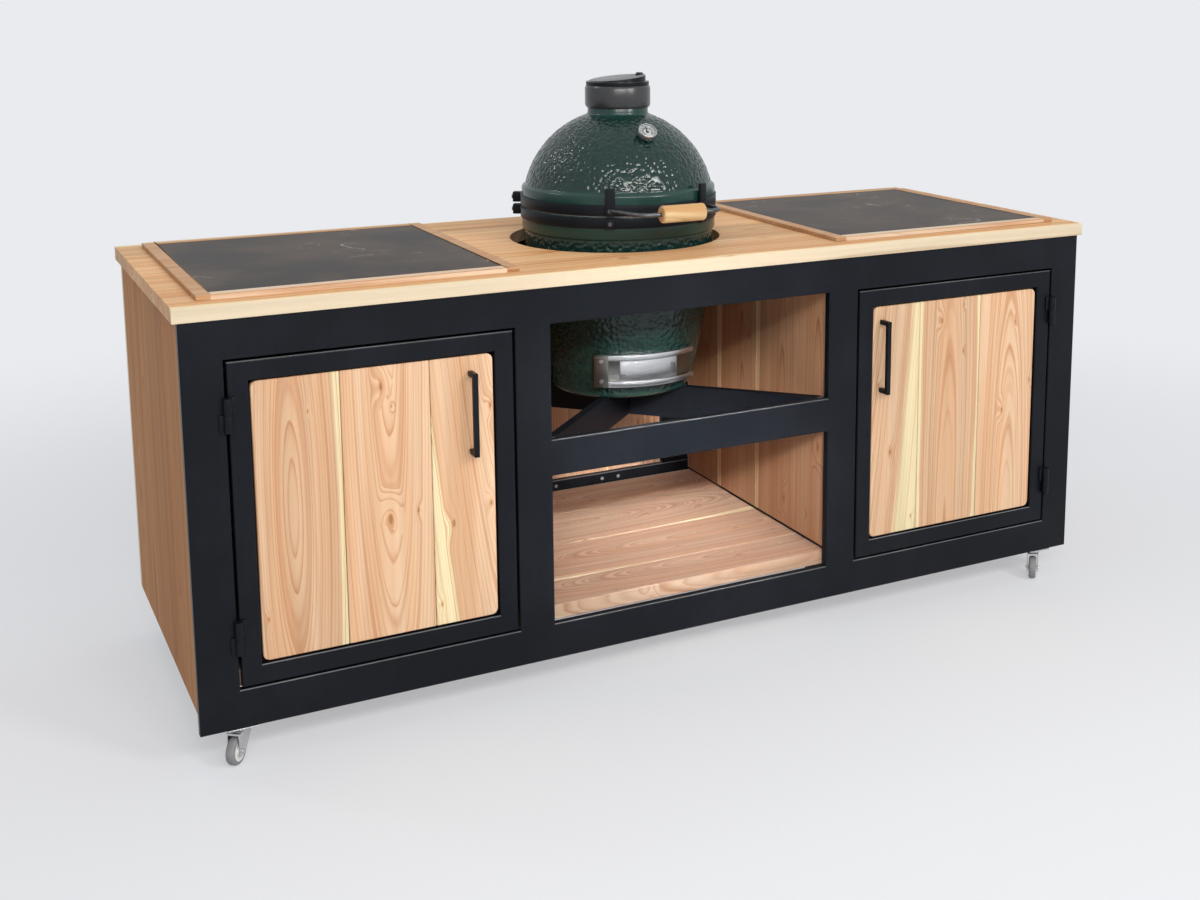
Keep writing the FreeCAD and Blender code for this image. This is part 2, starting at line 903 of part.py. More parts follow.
# Casters: plate and raceway under the corner, a trailing fork that swivels on the kingpin, and a wheel
wheel_top_plate = floor - s.caster_plate_thickness - s.raceway_height - s.running_gap - s.fork_top_thickness
fork_half = s.wheel_width / 2 + s.wheel_side_gap
kingpin_low = wheel_top_plate - s.running_gap - s.kingpin_head
caster_x = right - s.caster_inset_side
caster_places = (
    ("FrontLeft", -caster_x, front + s.caster_inset_depth),
    ("FrontRight", caster_x, front + s.caster_inset_depth),
    ("RearLeft", -caster_x, board_back - s.caster_inset_depth),
    ("RearRight", caster_x, board_back - s.caster_inset_depth),
)
mounts = []
for name, x, y in caster_places:
    label = "_".join(("front" if "Front" in name else "rear", "left" if "Left" in name else "right"))
    mount_plate = box(
        f"{name}Plate",
        middle(x, s.caster_plate),
        middle(y, s.caster_plate),
        (floor - s.caster_plate_thickness, s.caster_plate_thickness),
    )
    raceway_low = floor - s.caster_plate_thickness - s.raceway_height
    raceway = cylinder(f"{name}Raceway", s.raceway_radius, s.raceway_height, x, y, raceway_low)
    kingpin = cylinder(f"{name}Kingpin", s.kingpin_radius, raceway_low - kingpin_low, x, y, kingpin_low)
    head = cylinder(f"{name}KingpinHead", s.kingpin_head_radius, s.kingpin_head, x, y, kingpin_low)
    mounts.append(fuse(f"{name}Mount", mount_plate, raceway, kingpin, head))

    fork_top = box(
        f"{name}ForkTop",
        middle(0, (fork_half + s.fork_thickness) * 2),
        between(-s.caster_trail - s.fork_lip, s.raceway_radius),
        (wheel_top_plate, s.fork_top_thickness),
    )
    fork_bore = cylinder(
        f"{name}ForkBore", s.kingpin_radius + s.pin_fit, s.caster_height, 0, 0, kingpin_low
    )
    cheek_low = s.wheel_radius - s.fork_lip
    cheek_outline = [
        (0, 0),
        (s.fork_lip * 2, 0),
        (s.caster_trail + s.fork_lip + s.raceway_radius, wheel_top_plate - cheek_low),
        (0, wheel_top_plate - cheek_low),
    ]
    cheeks = [
        move(
            plate(f"{name}Cheek{index}", "YZ_Plane", cheek_outline, s.fork_thickness),
            cheek_x,
            -s.caster_trail - s.fork_lip,
            cheek_low,
        )
        for index, cheek_x in enumerate((fork_half, -fork_half - s.fork_thickness))
    ]
    axle_half = fork_half + s.fork_thickness + s.axle_head
    axle = cylinder(
        f"{name}Axle", s.axle_radius, axle_half * 2, -axle_half, -s.caster_trail, s.wheel_radius, along=X_AXIS
    )
    fork = cut(f"{name}Fork", fuse(f"{name}ForkBody", fork_top, *cheeks), fork_bore, axle)
    fork_group = group(f"{name}ForkGroup", [fork, axle])
    turn(fork_group, Z_AXIS, s.caster_turn)
    node(f"caster_fork_{label}", move(fork_group, x, y, 0))

    half = s.wheel_width / 2
    tyre = turned(
        f"{name}Tyre",
        [
            (s.axle_radius + s.pin_fit, -half),
            (s.wheel_radius - s.wheel_edge, -half),
            (s.wheel_radius, s.wheel_edge - half),
            (s.wheel_radius, half - s.wheel_edge),
            (s.wheel_radius - s.wheel_edge, half),
            (s.axle_radius + s.pin_fit, half),
        ],
    )
    tyre.Placement = FreeCAD.Placement(FreeCAD.Vector(), FreeCAD.Rotation(Z_AXIS, X_AXIS))
    move(tyre, 0, -s.caster_trail, s.wheel_radius)
    wheel = group(f"{name}Wheel", [tyre])
    turn(wheel, Z_AXIS, s.caster_turn)
    node(f"caster_wheel_{label}", move(wheel, x, y, 0))
node("caster_plates", group("CasterPlates", mounts))


# Cooker, built about its own upright axis with its height counted from the cross it stands on
def seat(label, thing):
    """Stands a piece of the cooker in its place on the cross."""
    return node(label, move(thing, cooker_x, cooker_y, cooker_floor))


def ring(name, inner, outer, low, height):
    return cut(
        name,
        cylinder(f"{name}Outer", outer, height, 0, 0, low),
        cylinder(f"{name}Inner", inner, height, 0, 0, low),
    )


def sector(name, inner, outer, low, height, start, sweep):
    """Part of a ring; angles are counted from the front towards +X."""
    pieces = []
    for part, radius in (("Outer", outer), ("Inner", inner)):
        piece = doc.addObject("Part::Cylinder", f"{name}{part}")
        bind(piece, "Radius", radius)
        bind(piece, "Height", height)
        bind(piece, "Angle", sweep)
        turn(piece, Z_AXIS, measure(start) - 90)
        pieces.append(move(piece, 0, 0, low))
    return cut(name, *pieces)


shoulder = s.base_height - s.collar_height
rim_inner = s.collar_radius - s.ceramic_wall
window_low = s.draft_low + (s.draft_height - s.draft_window_height) / 2


def draft_window(name):
    return box(
        name,
        middle(0, s.draft_window_width),
        between(-s.collar_radius, -s.firebox_foot_radius),
        (window_low, s.draft_window_height),
    )


base_shell = turned(
    "BaseShell",
    [
        (0, 0),
        (s.base_foot_radius - s.base_foot_edge, 0),
        (s.base_foot_radius, s.base_foot_edge, s.base_flank_radius),
        (s.base_shoulder_radius, shoulder),
        (s.collar_radius, shoulder),
        (s.collar_radius, s.base_height),
        (rim_inner, s.base_height),
        (rim_inner, s.base_inner_shoulder),
        (s.base_floor_radius, s.base_floor),
        (0, s.base_floor),
    ],
)
cooker_base = cut("CookerBase", base_shell, draft_window("BaseWindow"))

firebox_top = s.base_floor + s.firebox_height
firebox_floor_top = s.base_floor + s.firebox_floor
firebox_shell = turned(
    "FireboxShell",
    [
        (s.ash_hole_radius, s.base_floor),
        (s.firebox_foot_radius, s.base_floor),
        (s.firebox_rim_radius, firebox_top),
        (s.firebox_rim_radius - s.firebox_wall, firebox_top),
        (s.firebox_foot_radius - s.firebox_wall, firebox_floor_top),
        (s.ash_hole_radius, firebox_floor_top),
    ],
)
air_slot = box(
    "AirSlot",
    middle(0, s.air_slot_width),
    between(-s.firebox_rim_radius, -s.firebox_foot_radius / 2),
    (firebox_floor_top, s.air_slot_height),
)
firebox = cut("Firebox", firebox_shell, air_slot)

grate_radius = s.firebox_foot_radius - s.firebox_wall - s.grate_play
grate_disc = cylinder("GrateDisc", grate_radius, s.grate_thickness, 0, 0, firebox_floor_top)
grate_slots = group(
    "GrateSlots",
    [
        box(
            f"GrateSlot{index}",
            middle(0, grate_radius * length),
            middle(s.grate_slot * 2 * index, s.grate_slot),
            (firebox_floor_top, s.grate_thickness),
        )
        for index, length in ((-3, 1), (-2, 1.3), (-1, 1.5), (0, 1.6), (1, 1.5), (2, 1.3), (3, 1))
    ],
)
fire_grate = cut("FireGrate", grate_disc, grate_slots)
fire_ring = ring(
    "FireRing", s.firebox_rim_radius - s.firebox_wall, s.firebox_rim_radius, firebox_top, s.fire_ring_height
)

grid_low = firebox_top + s.fire_ring_height
grid_rim = ring("GridRim", s.grid_radius - s.grid_wire, s.grid_radius, grid_low, s.grid_wire)
grid_count = int(s.grid_radius.value // s.grid_pitch.value)
grid_disc = cylinder("GridDisc", s.grid_radius - s.grid_wire / 2, s.grid_wire, 0, 0, grid_low)
grid_wires = group(
    "GridWires",
    [
        box(
            f"GridWire{index}",
            middle(0, s.grid_radius * 2),
            middle(s.grid_pitch * index, s.grid_wire),
            (grid_low, s.grid_wire),
        )
        for index in range(-grid_count + 1, grid_count)
    ],
)
cooking_grid = fuse("CookingGrid", grid_rim, common("GridBars", grid_disc, grid_wires))
gasket = ring(
    "Gasket", rim_inner + s.gasket_inset, s.collar_radius - s.gasket_inset, s.base_height, s.gasket_thickness
)

# Bands round the rims, with clamps for their bolts at the front and at the hinge arms
band_inner = s.collar_radius + s.band_play
band_outer = band_inner + s.band_thickness
lid_low = s.base_height + s.gasket_thickness + s.running_gap
base_band_low = s.base_height - s.band_edge - s.band_height
lid_band_low = lid_low + s.band_edge


def clamps(name, low, front_height, rear_height):
    """Blocks against the band: two at the front for the handle, two deeper ones behind for the hinge arms."""
    blocks = []
    for index, (angle, depth, height) in enumerate(
        (
            (s.clamp_angle, s.clamp_depth, front_height),
            (-s.clamp_angle, s.clamp_depth, front_height),
            (s.rear_clamp_angle, s.rear_clamp_depth, rear_height),
            (-s.rear_clamp_angle, s.rear_clamp_depth, rear_height),
        )
    ):
        block = box(
            f"{name}Block{index}",
            middle(0, s.clamp_width),
            between(-band_outer - depth, -band_inner),
            (low, height),
        )
        hollow = cylinder(f"{name}Hollow{index}", band_outer + s.band_play, height, 0, 0, low)
        blocks.append(turn(cut(f"{name}{index}", block, hollow), Z_AXIS, angle))
    return blocks


base_ring = ring("BaseRing", band_inner, band_outer, base_band_low, s.band_height)
base_band = group("BaseBand", [base_ring] + clamps("BaseClamp", base_band_low, s.band_height, s.band_height))
lid_ring = ring("LidRing", band_inner, band_outer, lid_band_low, s.band_height)
lid_clamps = clamps("LidClamp", lid_band_low, s.strap_height, s.band_height)
lid_band = group("LidBand", [lid_ring] + lid_clamps)

# Hinge behind the cooker: two cheeks on the base's band, an arm with a barrel on the lid's, and a pin
hinge_axis_z = s.base_height + s.lid_hinge_rise
barrel_half = s.lid_hinge_width / 2
cheek_inner = barrel_half + s.running_gap
cheek_outer = cheek_inner + s.lid_hinge_cheek
hinge_cheeks = []
for name, side in SIDES:
    cheek_x = between(side * cheek_inner, side * cheek_outer)
    foot = box(
        f"HingeFoot{name}",
        cheek_x,
        between(s.base_shoulder_radius - s.lid_hinge_barrel, s.lid_hinge_radius + s.lid_hinge_barrel),
        (base_band_low, s.band_height),
    )
    neck = box(
        f"HingeNeck{name}",
        cheek_x,
        middle(s.lid_hinge_radius, s.lid_hinge_barrel * 2),
        between(base_band_low, hinge_axis_z),
    )
    eye = cylinder(
        f"HingeEye{name}",
        s.lid_hinge_barrel,
        s.lid_hinge_cheek,
        cheek_x[0],
        s.lid_hinge_radius,
        hinge_axis_z,
        along=X_AXIS,
    )
    room = cylinder(f"HingeRoom{name}", band_outer + s.band_play, s.band_height, 0, 0, base_band_low)
    hinge_cheeks.append(fuse(f"HingeCheek{name}", cut(f"HingeFootCut{name}", foot, room), neck, eye))
pin_half = cheek_outer + s.lid_pin_head
lid_pin = cylinder(
    "LidPin", s.lid_pin_radius, pin_half * 2, -pin_half, s.lid_hinge_radius, hinge_axis_z, along=X_AXIS
)
hinge_bracket = fuse("HingeBracket", *hinge_cheeks, lid_pin)

arm_plate = box(
    "ArmPlate",
    middle(0, s.lid_hinge_width),
    between(s.base_shoulder_radius - s.lid_hinge_barrel, s.lid_hinge_radius),
    between(lid_band_low, hinge_axis_z + s.lid_hinge_barrel),
)
arm_room = cylinder("ArmRoom", band_outer + s.band_play, s.strap_height, 0, 0, lid_band_low)
arm_barrel = cylinder(
    "ArmBarrel",
    s.lid_hinge_barrel,
    s.lid_hinge_width,
    -barrel_half,
    s.lid_hinge_radius,
    hinge_axis_z,
    along=X_AXIS,
)
arm_bore = cylinder(
    "ArmBore",
    s.lid_pin_radius + s.pin_fit,
    s.lid_hinge_width,
    -barrel_half,
    s.lid_hinge_radius,
    hinge_axis_z,
    along=X_AXIS,
)
lid_hinge_arm = cut(
    "LidHingeArm", fuse("ArmBody", cut("ArmPlateCut", arm_plate, arm_room), arm_barrel), arm_bore
)

# Lid: a dome with a collar and a neck, its heights counted from the seam; a hole takes the thermometer
collar_top = s.collar_height
dome_foot = root(s.dome_radius * s.dome_radius - collar_top * collar_top)
inner_radius = s.dome_radius - s.dome_wall
lid_edge = s.gasket_thickness + s.running_gap
lid_shell = turned(
    "LidShell",
    [
        (root(inner_radius * inner_radius - lid_edge * lid_edge), lid_edge),
        (s.collar_radius, lid_edge),
        (s.collar_radius, collar_top - s.base_foot_edge),
        (dome_foot, collar_top, s.dome_radius),
        (s.neck_radius, root(s.dome_radius * s.dome_radius - s.neck_radius * s.neck_radius)),
        (s.neck_radius, s.neck_height),
        (s.neck_bore, s.neck_height),
        (s.neck_bore, root(inner_radius * inner_radius - s.neck_bore * s.neck_bore), -inner_radius),
    ],
)
dial_tilt = 90 - s.dial_elevation
stem_hole = turn(
    cylinder("StemHole", s.dial_stem_radius + s.dial_stem_fit, s.dome_radius * 2), X_AXIS, dial_tilt
)
cooker_lid = cut("CookerLid", lid_shell, stem_hole)

# Handle: a rod bent from clamp to clamp round the front, with a turned wooden grip on its middle
foot_angle = math.radians(s.clamp_angle.value)
foot_radius = band_outer.value + s.clamp_depth.value - s.rod_radius.value
foot_z = lid_band_low.value + s.handle_foot_rise.value
grip_z = s.base_height + s.handle_rise


def handle_rod():
    """Straight runs from inside the clamps to the grip, joined by tangent arcs."""
    foot = FreeCAD.Vector(foot_radius * math.sin(foot_angle), -foot_radius * math.cos(foot_angle), foot_z)
    corner = FreeCAD.Vector(s.handle_half_span.value, -s.handle_reach.value, grip_z.value)
    inwards = (foot - corner).normalize()
    across = FreeCAD.Vector(-1, 0, 0)
    turn_angle = math.pi - inwards.getAngle(across)
    tangent = s.handle_bend.value * math.tan(turn_angle / 2)
    arm_end = corner + inwards * tangent
    cross_start = corner + across * tangent
    bisector = (inwards + across).normalize()
    centre = corner + bisector * (s.handle_bend.value / math.cos(turn_angle / 2))
    bend_middle = centre - bisector * s.handle_bend.value

    def mirrored(point):
        return FreeCAD.Vector(-point.x, point.y, point.z)

    edges = [
        Part.LineSegment(foot, arm_end),
        Part.Arc(arm_end, bend_middle, cross_start),
        Part.LineSegment(cross_start, mirrored(cross_start)),
        Part.Arc(mirrored(cross_start), mirrored(bend_middle), mirrored(arm_end)),
        Part.LineSegment(mirrored(arm_end), mirrored(foot)),
    ]
    path = Part.Wire([edge.toShape() for edge in edges])
    section = Part.Wire(Part.makeCircle(s.rod_radius.value, foot, arm_end - foot))
    return path.makePipeShell([section], True, True)


whole_rod = doc.addObject("Part::Feature", "HandleRodWhole")
whole_rod.Shape = handle_rod()
rod = cut("HandleRod", whole_rod, *lid_clamps[:2])
grip = turned(
    "Grip",
    [
        (s.rod_radius + s.grip_fit, 0),
        (s.grip_radius - s.grip_edge, 0),
        (s.grip_radius, s.grip_edge),
        (s.grip_radius, s.grip_length - s.grip_edge),
        (s.grip_radius - s.grip_edge, s.grip_length),
        (s.rod_radius + s.grip_fit, s.grip_length),
    ],
)
grip.Placement = FreeCAD.Placement(FreeCAD.Vector(), FreeCAD.Rotation(Z_AXIS, X_AXIS))

# Thermometer: a cup with a stem through the dome, its heights counted out from the dome's centre
dome_clear = s.dome_radius + s.running_gap
dial_case = turned(
    "DialCase",
    [
        (0, s.dome_radius - s.dial_stem_length),
        (s.dial_stem_radius, s.dome_radius - s.dial_stem_length),
        (s.dial_stem_radius, dome_clear),
        (s.dial_collar_radius, dome_clear),
        (s.dial_collar_radius, s.dial_case_low),
        (s.dial_radius, s.dial_case_low),
        (s.dial_radius, s.dial_case_high),
        (s.dial_radius - s.dial_rim, s.dial_case_high),
        (s.dial_radius - s.dial_rim, s.dial_face),
        (s.needle_post_radius, s.dial_face),
        (s.needle_post_radius, s.dial_case_high - s.dial_rim),
        (0, s.dial_case_high - s.dial_rim),
    ],
)
needle_low = s.dial_face + s.running_gap
needle_hub = cylinder("NeedleHub", s.needle_hub_radius, s.needle_thickness * 2, 0, 0, needle_low)
needle_bar = box(
    "NeedleBar",
    middle(0, s.needle_width),
    between(-s.needle_hub_radius * 2, s.needle_length),
    (needle_low + s.needle_thickness / 2, s.needle_thickness),
)
needle_bore = cylinder(
    "NeedleBore", s.needle_post_radius + s.pin_fit, s.needle_thickness * 2, 0, 0, needle_low
)
needle = cut("Needle", fuse("NeedleBody", needle_hub, needle_bar), needle_bore)

# Vent cap on the neck: a drum with a flue hole, and a lid with a sloping top that turns aside on a pivot
cap_low = s.neck_height - s.cap_skirt
cap_top = s.neck_height + s.cap_height
cap_drum = turned(
    "CapDrum",
    [
        (s.neck_radius + s.band_play, cap_low),
        (s.cap_radius - s.cap_edge, cap_low),
        (s.cap_radius, cap_low + s.cap_edge * 2),
        (s.cap_radius, cap_top - s.cap_edge * 2),
        (s.cap_radius - s.cap_edge, cap_top),
        (s.cap_flue_radius, cap_top),
        (s.cap_flue_radius, cap_top - s.cap_plate),
        (s.cap_radius - s.cap_wall, cap_top - s.cap_plate),
        (s.cap_radius - s.cap_wall, s.neck_height + s.cap_plate),
        (s.neck_bore, s.neck_height + s.cap_plate),
        (s.neck_bore, s.neck_height),
        (s.neck_radius + s.band_play, s.neck_height),
    ],
)
vent_lid_low = cap_top + s.running_gap
pivot_top = vent_lid_low + s.vent_boss_height + s.running_gap
pivot = cylinder(
    "VentPivot",
    s.vent_pivot_radius,
    pivot_top + s.cap_edge - cap_top + s.cap_plate,
    s.vent_pivot_offset,
    0,
    cap_top - s.cap_plate,
)
pivot_head = cylinder(
    "VentPivotHead", s.vent_pivot_radius * 2, s.cap_edge, s.vent_pivot_offset, 0, pivot_top
)
vent_cap = fuse("VentCap", cap_drum, pivot, pivot_head)
vent_disc = cylinder("VentDisc", s.vent_lid_radius, s.vent_lid_rim, 0, 0, vent_lid_low)
vent_rim_top = vent_lid_low + s.vent_lid_rim
vent_slope = plate(
    "VentSlope",
    "XZ_Plane",
    [
        (-s.vent_lid_top_radius, vent_rim_top),
        (s.vent_lid_top_radius, vent_rim_top),
        (s.vent_lid_top_radius, vent_rim_top + s.vent_lid_rise),
        (-s.vent_lid_top_radius, vent_rim_top + s.vent_lid_edge),
    ],
    s.vent_lid_top_radius * 2,
)
vent_round = cylinder("VentRound", s.vent_lid_top_radius, s.vent_lid_rise, 0, 0, vent_rim_top)
vent_top = common("VentTop", move(vent_slope, 0, -s.vent_lid_top_radius, 0), vent_round)
vent_boss = cylinder(
    "VentBoss", s.vent_boss_radius, s.vent_boss_height, s.vent_pivot_offset, 0, vent_lid_low
)
vent_bore = cylinder(
    "VentBore", s.vent_pivot_radius + s.pin_fit, s.vent_boss_height, s.vent_pivot_offset, 0, vent_lid_low
)
vent_lid = cut("VentLid", fuse("VentLidBody", vent_disc, vent_top, vent_boss), vent_bore)

# Draft door: a curved plate between two rails round the foot of the base
rail_inner = s.draft_back_radius - s.draft_back_wall
rail_outer = s.draft_back_radius + s.draft_rail_depth
draft_top = s.draft_low + s.draft_height
door_room_low = s.draft_low + s.draft_rail
door_room_high = draft_top - s.draft_rail
draft_back = sector(
    "DraftBack", rail_inner, s.draft_back_radius, s.draft_low, s.draft_height, s.draft_start, s.draft_sweep
)
draft_rails = []
for name, low, lip_low in (
    ("Low", s.draft_low, door_room_low),
    ("High", door_room_high, door_room_high - s.draft_lip_height),
):
    draft_rails += [
        sector(f"DraftRail{name}", rail_inner, rail_outer, low, s.draft_rail, s.draft_start, s.draft_sweep),
        sector(
            f"DraftLip{name}",
            rail_outer - s.draft_lip,
            rail_outer,
            lip_low,
            s.draft_lip_height,
            s.draft_start,
            s.draft_sweep,
        ),
    ]
draft_end = sector(
    "DraftEnd", rail_inner, rail_outer, s.draft_low, s.draft_height, s.draft_start, s.draft_end_sweep
)
draft_body = fuse("DraftBody", draft_back, *draft_rails, draft_end)
draft_frame = cut("DraftFrame", draft_body, base_shell, draft_window("DraftWindow"))
draft_inner = s.draft_door_radius - s.draft_door_thickness
door_low_edge = door_room_low + s.draft_door_play
draft_plate = sector(
    "DraftPlate",
    draft_inner,
    s.draft_door_radius,
    door_low_edge,
    door_room_high - s.draft_door_play - door_low_edge,
    s.draft_door_start,
    s.draft_door_sweep,
)
draft_tab_block = box(
    "DraftTabBlock",
    middle(0, s.draft_tab_width),
    between(-s.draft_door_radius - s.draft_tab_depth, -draft_inner),
    middle((door_room_low + door_room_high) / 2, s.draft_tab_height),
)
draft_tab = turn(
    group("DraftTab", [draft_tab_block]), Z_AXIS, s.draft_door_start + s.draft_door_sweep - s.draft_tab_width
)
draft_door = fuse("DraftDoor", draft_plate, draft_tab)

seat("cooker_base", cooker_base)
seat("cooker_firebox", firebox)
seat("cooker_fire_grate", fire_grate)
seat("cooker_fire_ring", fire_ring)
seat("cooking_grid", cooking_grid)
seat("cooker_gasket", gasket)
seat("base_band", base_band)
seat("hinge_bracket", hinge_bracket)
seat("draft_frame", draft_frame)
seat("draft_door", draft_door)
seat("lid_band", lid_band)
seat("lid_hinge_arm", lid_hinge_arm)
seat("handle_rod", rod)
node(
    "handle_grip",
    move(grip, cooker_x - s.grip_length / 2, cooker_y - s.handle_reach, cooker_floor + grip_z),
)
seam = cooker_floor + s.base_height
node("cooker_lid", move(cooker_lid, cooker_x, cooker_y, seam))
node("vent_cap", move(vent_cap, cooker_x, cooker_y, seam))
node("vent_lid", move(vent_lid, cooker_x, cooker_y, seam))
for label, piece in (("thermometer_case", dial_case), ("thermometer_needle", needle)):
    turn(piece, X_AXIS, dial_tilt)
    node(label, move(piece, cooker_x, cooker_y, seam))

doc.recompute()
faults = [thing.Name for thing in doc.Objects if "Invalid" in thing.State or "Error" in thing.State]
if faults:
    raise RuntimeError(f"these objects failed: {faults}")
for piece in nodes:
    if piece.Shape.isNull() or not piece.Shape.isValid() or not piece.Shape.Solids:
        raise RuntimeError(f"{piece.Label} has no valid solid")
for piece in nodes:
    piece.Shape.exportStep(f"parts/{piece.Label}.step")
print(len(nodes), "nodes,", sum(len(piece.Shape.Solids) for piece in nodes), "solids")
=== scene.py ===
import json
import math
import random

import bmesh
import bpy
from mathutils import Matrix, Vector
from mathutils import noise as solid_noise


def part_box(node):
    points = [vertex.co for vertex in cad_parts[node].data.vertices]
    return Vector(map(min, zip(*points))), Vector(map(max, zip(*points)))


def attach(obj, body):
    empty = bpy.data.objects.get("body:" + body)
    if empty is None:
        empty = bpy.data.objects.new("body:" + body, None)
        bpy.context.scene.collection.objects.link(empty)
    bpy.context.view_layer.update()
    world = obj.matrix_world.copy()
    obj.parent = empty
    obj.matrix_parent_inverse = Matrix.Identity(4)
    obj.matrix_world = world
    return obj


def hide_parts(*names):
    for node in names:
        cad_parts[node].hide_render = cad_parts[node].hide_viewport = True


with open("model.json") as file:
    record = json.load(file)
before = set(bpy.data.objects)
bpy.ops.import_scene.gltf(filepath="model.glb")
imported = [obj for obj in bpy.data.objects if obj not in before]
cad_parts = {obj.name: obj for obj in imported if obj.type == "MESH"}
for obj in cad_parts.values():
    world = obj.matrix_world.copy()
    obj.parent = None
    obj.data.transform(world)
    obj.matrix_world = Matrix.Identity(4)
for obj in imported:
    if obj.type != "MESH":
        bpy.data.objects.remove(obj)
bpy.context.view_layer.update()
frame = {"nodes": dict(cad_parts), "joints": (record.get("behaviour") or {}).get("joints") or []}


# Studio
# A pale grey floor that runs out into a backdrop of the same grey, under large soft lamps.
# The camera stands at the front left, a little above the worktop, where the photograph was taken.
scene = bpy.context.scene
scene.view_settings.view_transform = "Standard"
STUDIO_GREY = (0.82, 0.83, 0.86, 1.0)
FLOOR_GREY = (0.76, 0.77, 0.79, 1.0)
FLOOR_REACH = 40.0
SHADOW_START = 1.2
SHADOW_END = 3.8
SKY_COLOUR = (0.92, 0.96, 1.0, 1.0)
SKY_STRENGTH = 0.36


def feed(tree, node, inputs):
    """Sets a node's inputs; each is a plain value or the socket that feeds it."""
    for key, value in inputs.items():
        if isinstance(value, bpy.types.NodeSocket):
            tree.links.new(value, node.inputs[key])
        else:
            node.inputs[key].default_value = value


def add_node(tree, kind, inputs=None, **options):
    node = tree.nodes.new(kind)
    for option, value in options.items():
        setattr(node, option, value)
    feed(tree, node, inputs or {})
    return node


def calc(tree, operation, *values):
    return add_node(tree, "ShaderNodeMath", dict(enumerate(values)), operation=operation).outputs[0]


def vector_calc(tree, operation, *values):
    outputs = add_node(tree, "ShaderNodeVectorMath", dict(enumerate(values)), operation=operation).outputs
    return outputs["Value" if operation in ("LENGTH", "DOT_PRODUCT") else "Vector"]


def fade(tree, value, start, end, low, high):
    """A smooth change from low to high while value goes from start to end."""
    inputs = {"Value": value, "From Min": start, "From Max": end, "To Min": low, "To Max": high}
    return add_node(tree, "ShaderNodeMapRange", inputs, interpolation_type="SMOOTHSTEP").outputs[0]


def new_material(name):
    material = bpy.data.materials.new(name)
    material.use_nodes = True
    tree = material.node_tree
    return material, tree, tree.nodes["Principled BSDF"]


def object_place(tree):
    return add_node(tree, "ShaderNodeTexCoord").outputs["Object"]


def seen_directly(tree):
    """One for rays from the camera, also after a mirror or a clear pane, and none for the light on things."""
    light_path = add_node(tree, "ShaderNodeLightPath").outputs
    mirrored = calc(tree, "MAXIMUM", light_path["Is Camera Ray"], light_path["Is Glossy Ray"])
    return calc(tree, "MAXIMUM", mirrored, light_path["Is Transmission Ray"])


floor_mesh = bpy.data.meshes.new("studio_floor")
floor_corners = [(-FLOOR_REACH, -FLOOR_REACH), (FLOOR_REACH, -FLOOR_REACH)]
floor_corners += [(FLOOR_REACH, FLOOR_REACH), (-FLOOR_REACH, FLOOR_REACH)]
floor_mesh.from_pydata([(x, y, 0.0) for x, y in floor_corners], [], [(0, 1, 2, 3)])
studio_floor = bpy.data.objects.new("studio_floor", floor_mesh)
scene.collection.objects.link(studio_floor)
floor_material, tree, shader = new_material("studio_floor")
feed(tree, shader, {"Base Color": FLOOR_GREY, "Roughness": 0.9})
away = vector_calc(tree, "LENGTH", object_place(tree))
glow = add_node(tree, "ShaderNodeEmission", {"Color": STUDIO_GREY, "Strength": 1.0})
share = calc(tree, "MULTIPLY", seen_directly(tree), fade(tree, away, SHADOW_START, SHADOW_END, 0.50, 1.0))
floor_mix = add_node(tree, "ShaderNodeMixShader", {0: share, 1: shader.outputs[0], 2: glow.outputs[0]})
feed(tree, tree.nodes["Material Output"], {"Surface": floor_mix.outputs[0]})
floor_mesh.materials.append(floor_material)

world = bpy.data.worlds.new("studio")
scene.world = world
world.use_nodes = True
tree = world.node_tree
backdrop = add_node(tree, "ShaderNodeBackground", {"Color": STUDIO_GREY, "Strength": 1.0})
sky = add_node(tree, "ShaderNodeBackground", {"Color": SKY_COLOUR, "Strength": SKY_STRENGTH})
sky_mix = add_node(
    tree, "ShaderNodeMixShader", {0: seen_directly(tree), 1: sky.outputs[0], 2: backdrop.outputs[0]}
)
feed(tree, tree.nodes["World Output"], {"Surface": sky_mix.outputs[0]})


def soft_lamp(name, place, target, width, height, watts, colour, mirrored=True, spread=180.0):
    """A rectangular lamp at a place, turned to a target; mirrored lamps show in glossy faces."""
    lamp = bpy.data.lights.new(name, "AREA")
    lamp.shape = "RECTANGLE"
    lamp.size = width
    lamp.size_y = height
    lamp.energy = watts
    lamp.color = colour
    lamp.spread = math.radians(spread)
    holder = bpy.data.objects.new(name, lamp)
    holder.location = place
    holder.rotation_euler = (Vector(target) - Vector(place)).to_track_quat("-Z", "Y").to_euler()
    holder.visible_glossy = mirrored
    scene.collection.objects.link(holder)


soft_lamp("window_lamp", (1.9, -4.4, 3.2), (0.0, 0.0, 0.7), 1.1, 1.5, 100, (1.0, 0.985, 0.96))
soft_lamp("front_lamp", (-1.1, -4.3, 3.2), (0.0, 0.0, 0.45), 3.2, 0.9, 130, (1.0, 0.98, 0.95))
soft_lamp("overhead_lamp", (0.0, 0.6, 4.2), (0.0, 0.1, 0.9), 4.0, 2.6, 35, (1.0, 0.99, 0.97), mirrored=False)
soft_lamp("bay_lamp", (-0.8, -3.5, 2.2), (0.10, 0.05, 0.27), 0.5, 0.4, 2.0, (1.0, 0.97, 0.93), spread=11.0)
soft_lamp("left_lamp", (-2.8, 1.7, 3.8), (0.0, 0.0, 1.1), 0.5, 0.5, 14, (0.95, 0.98, 1.0))

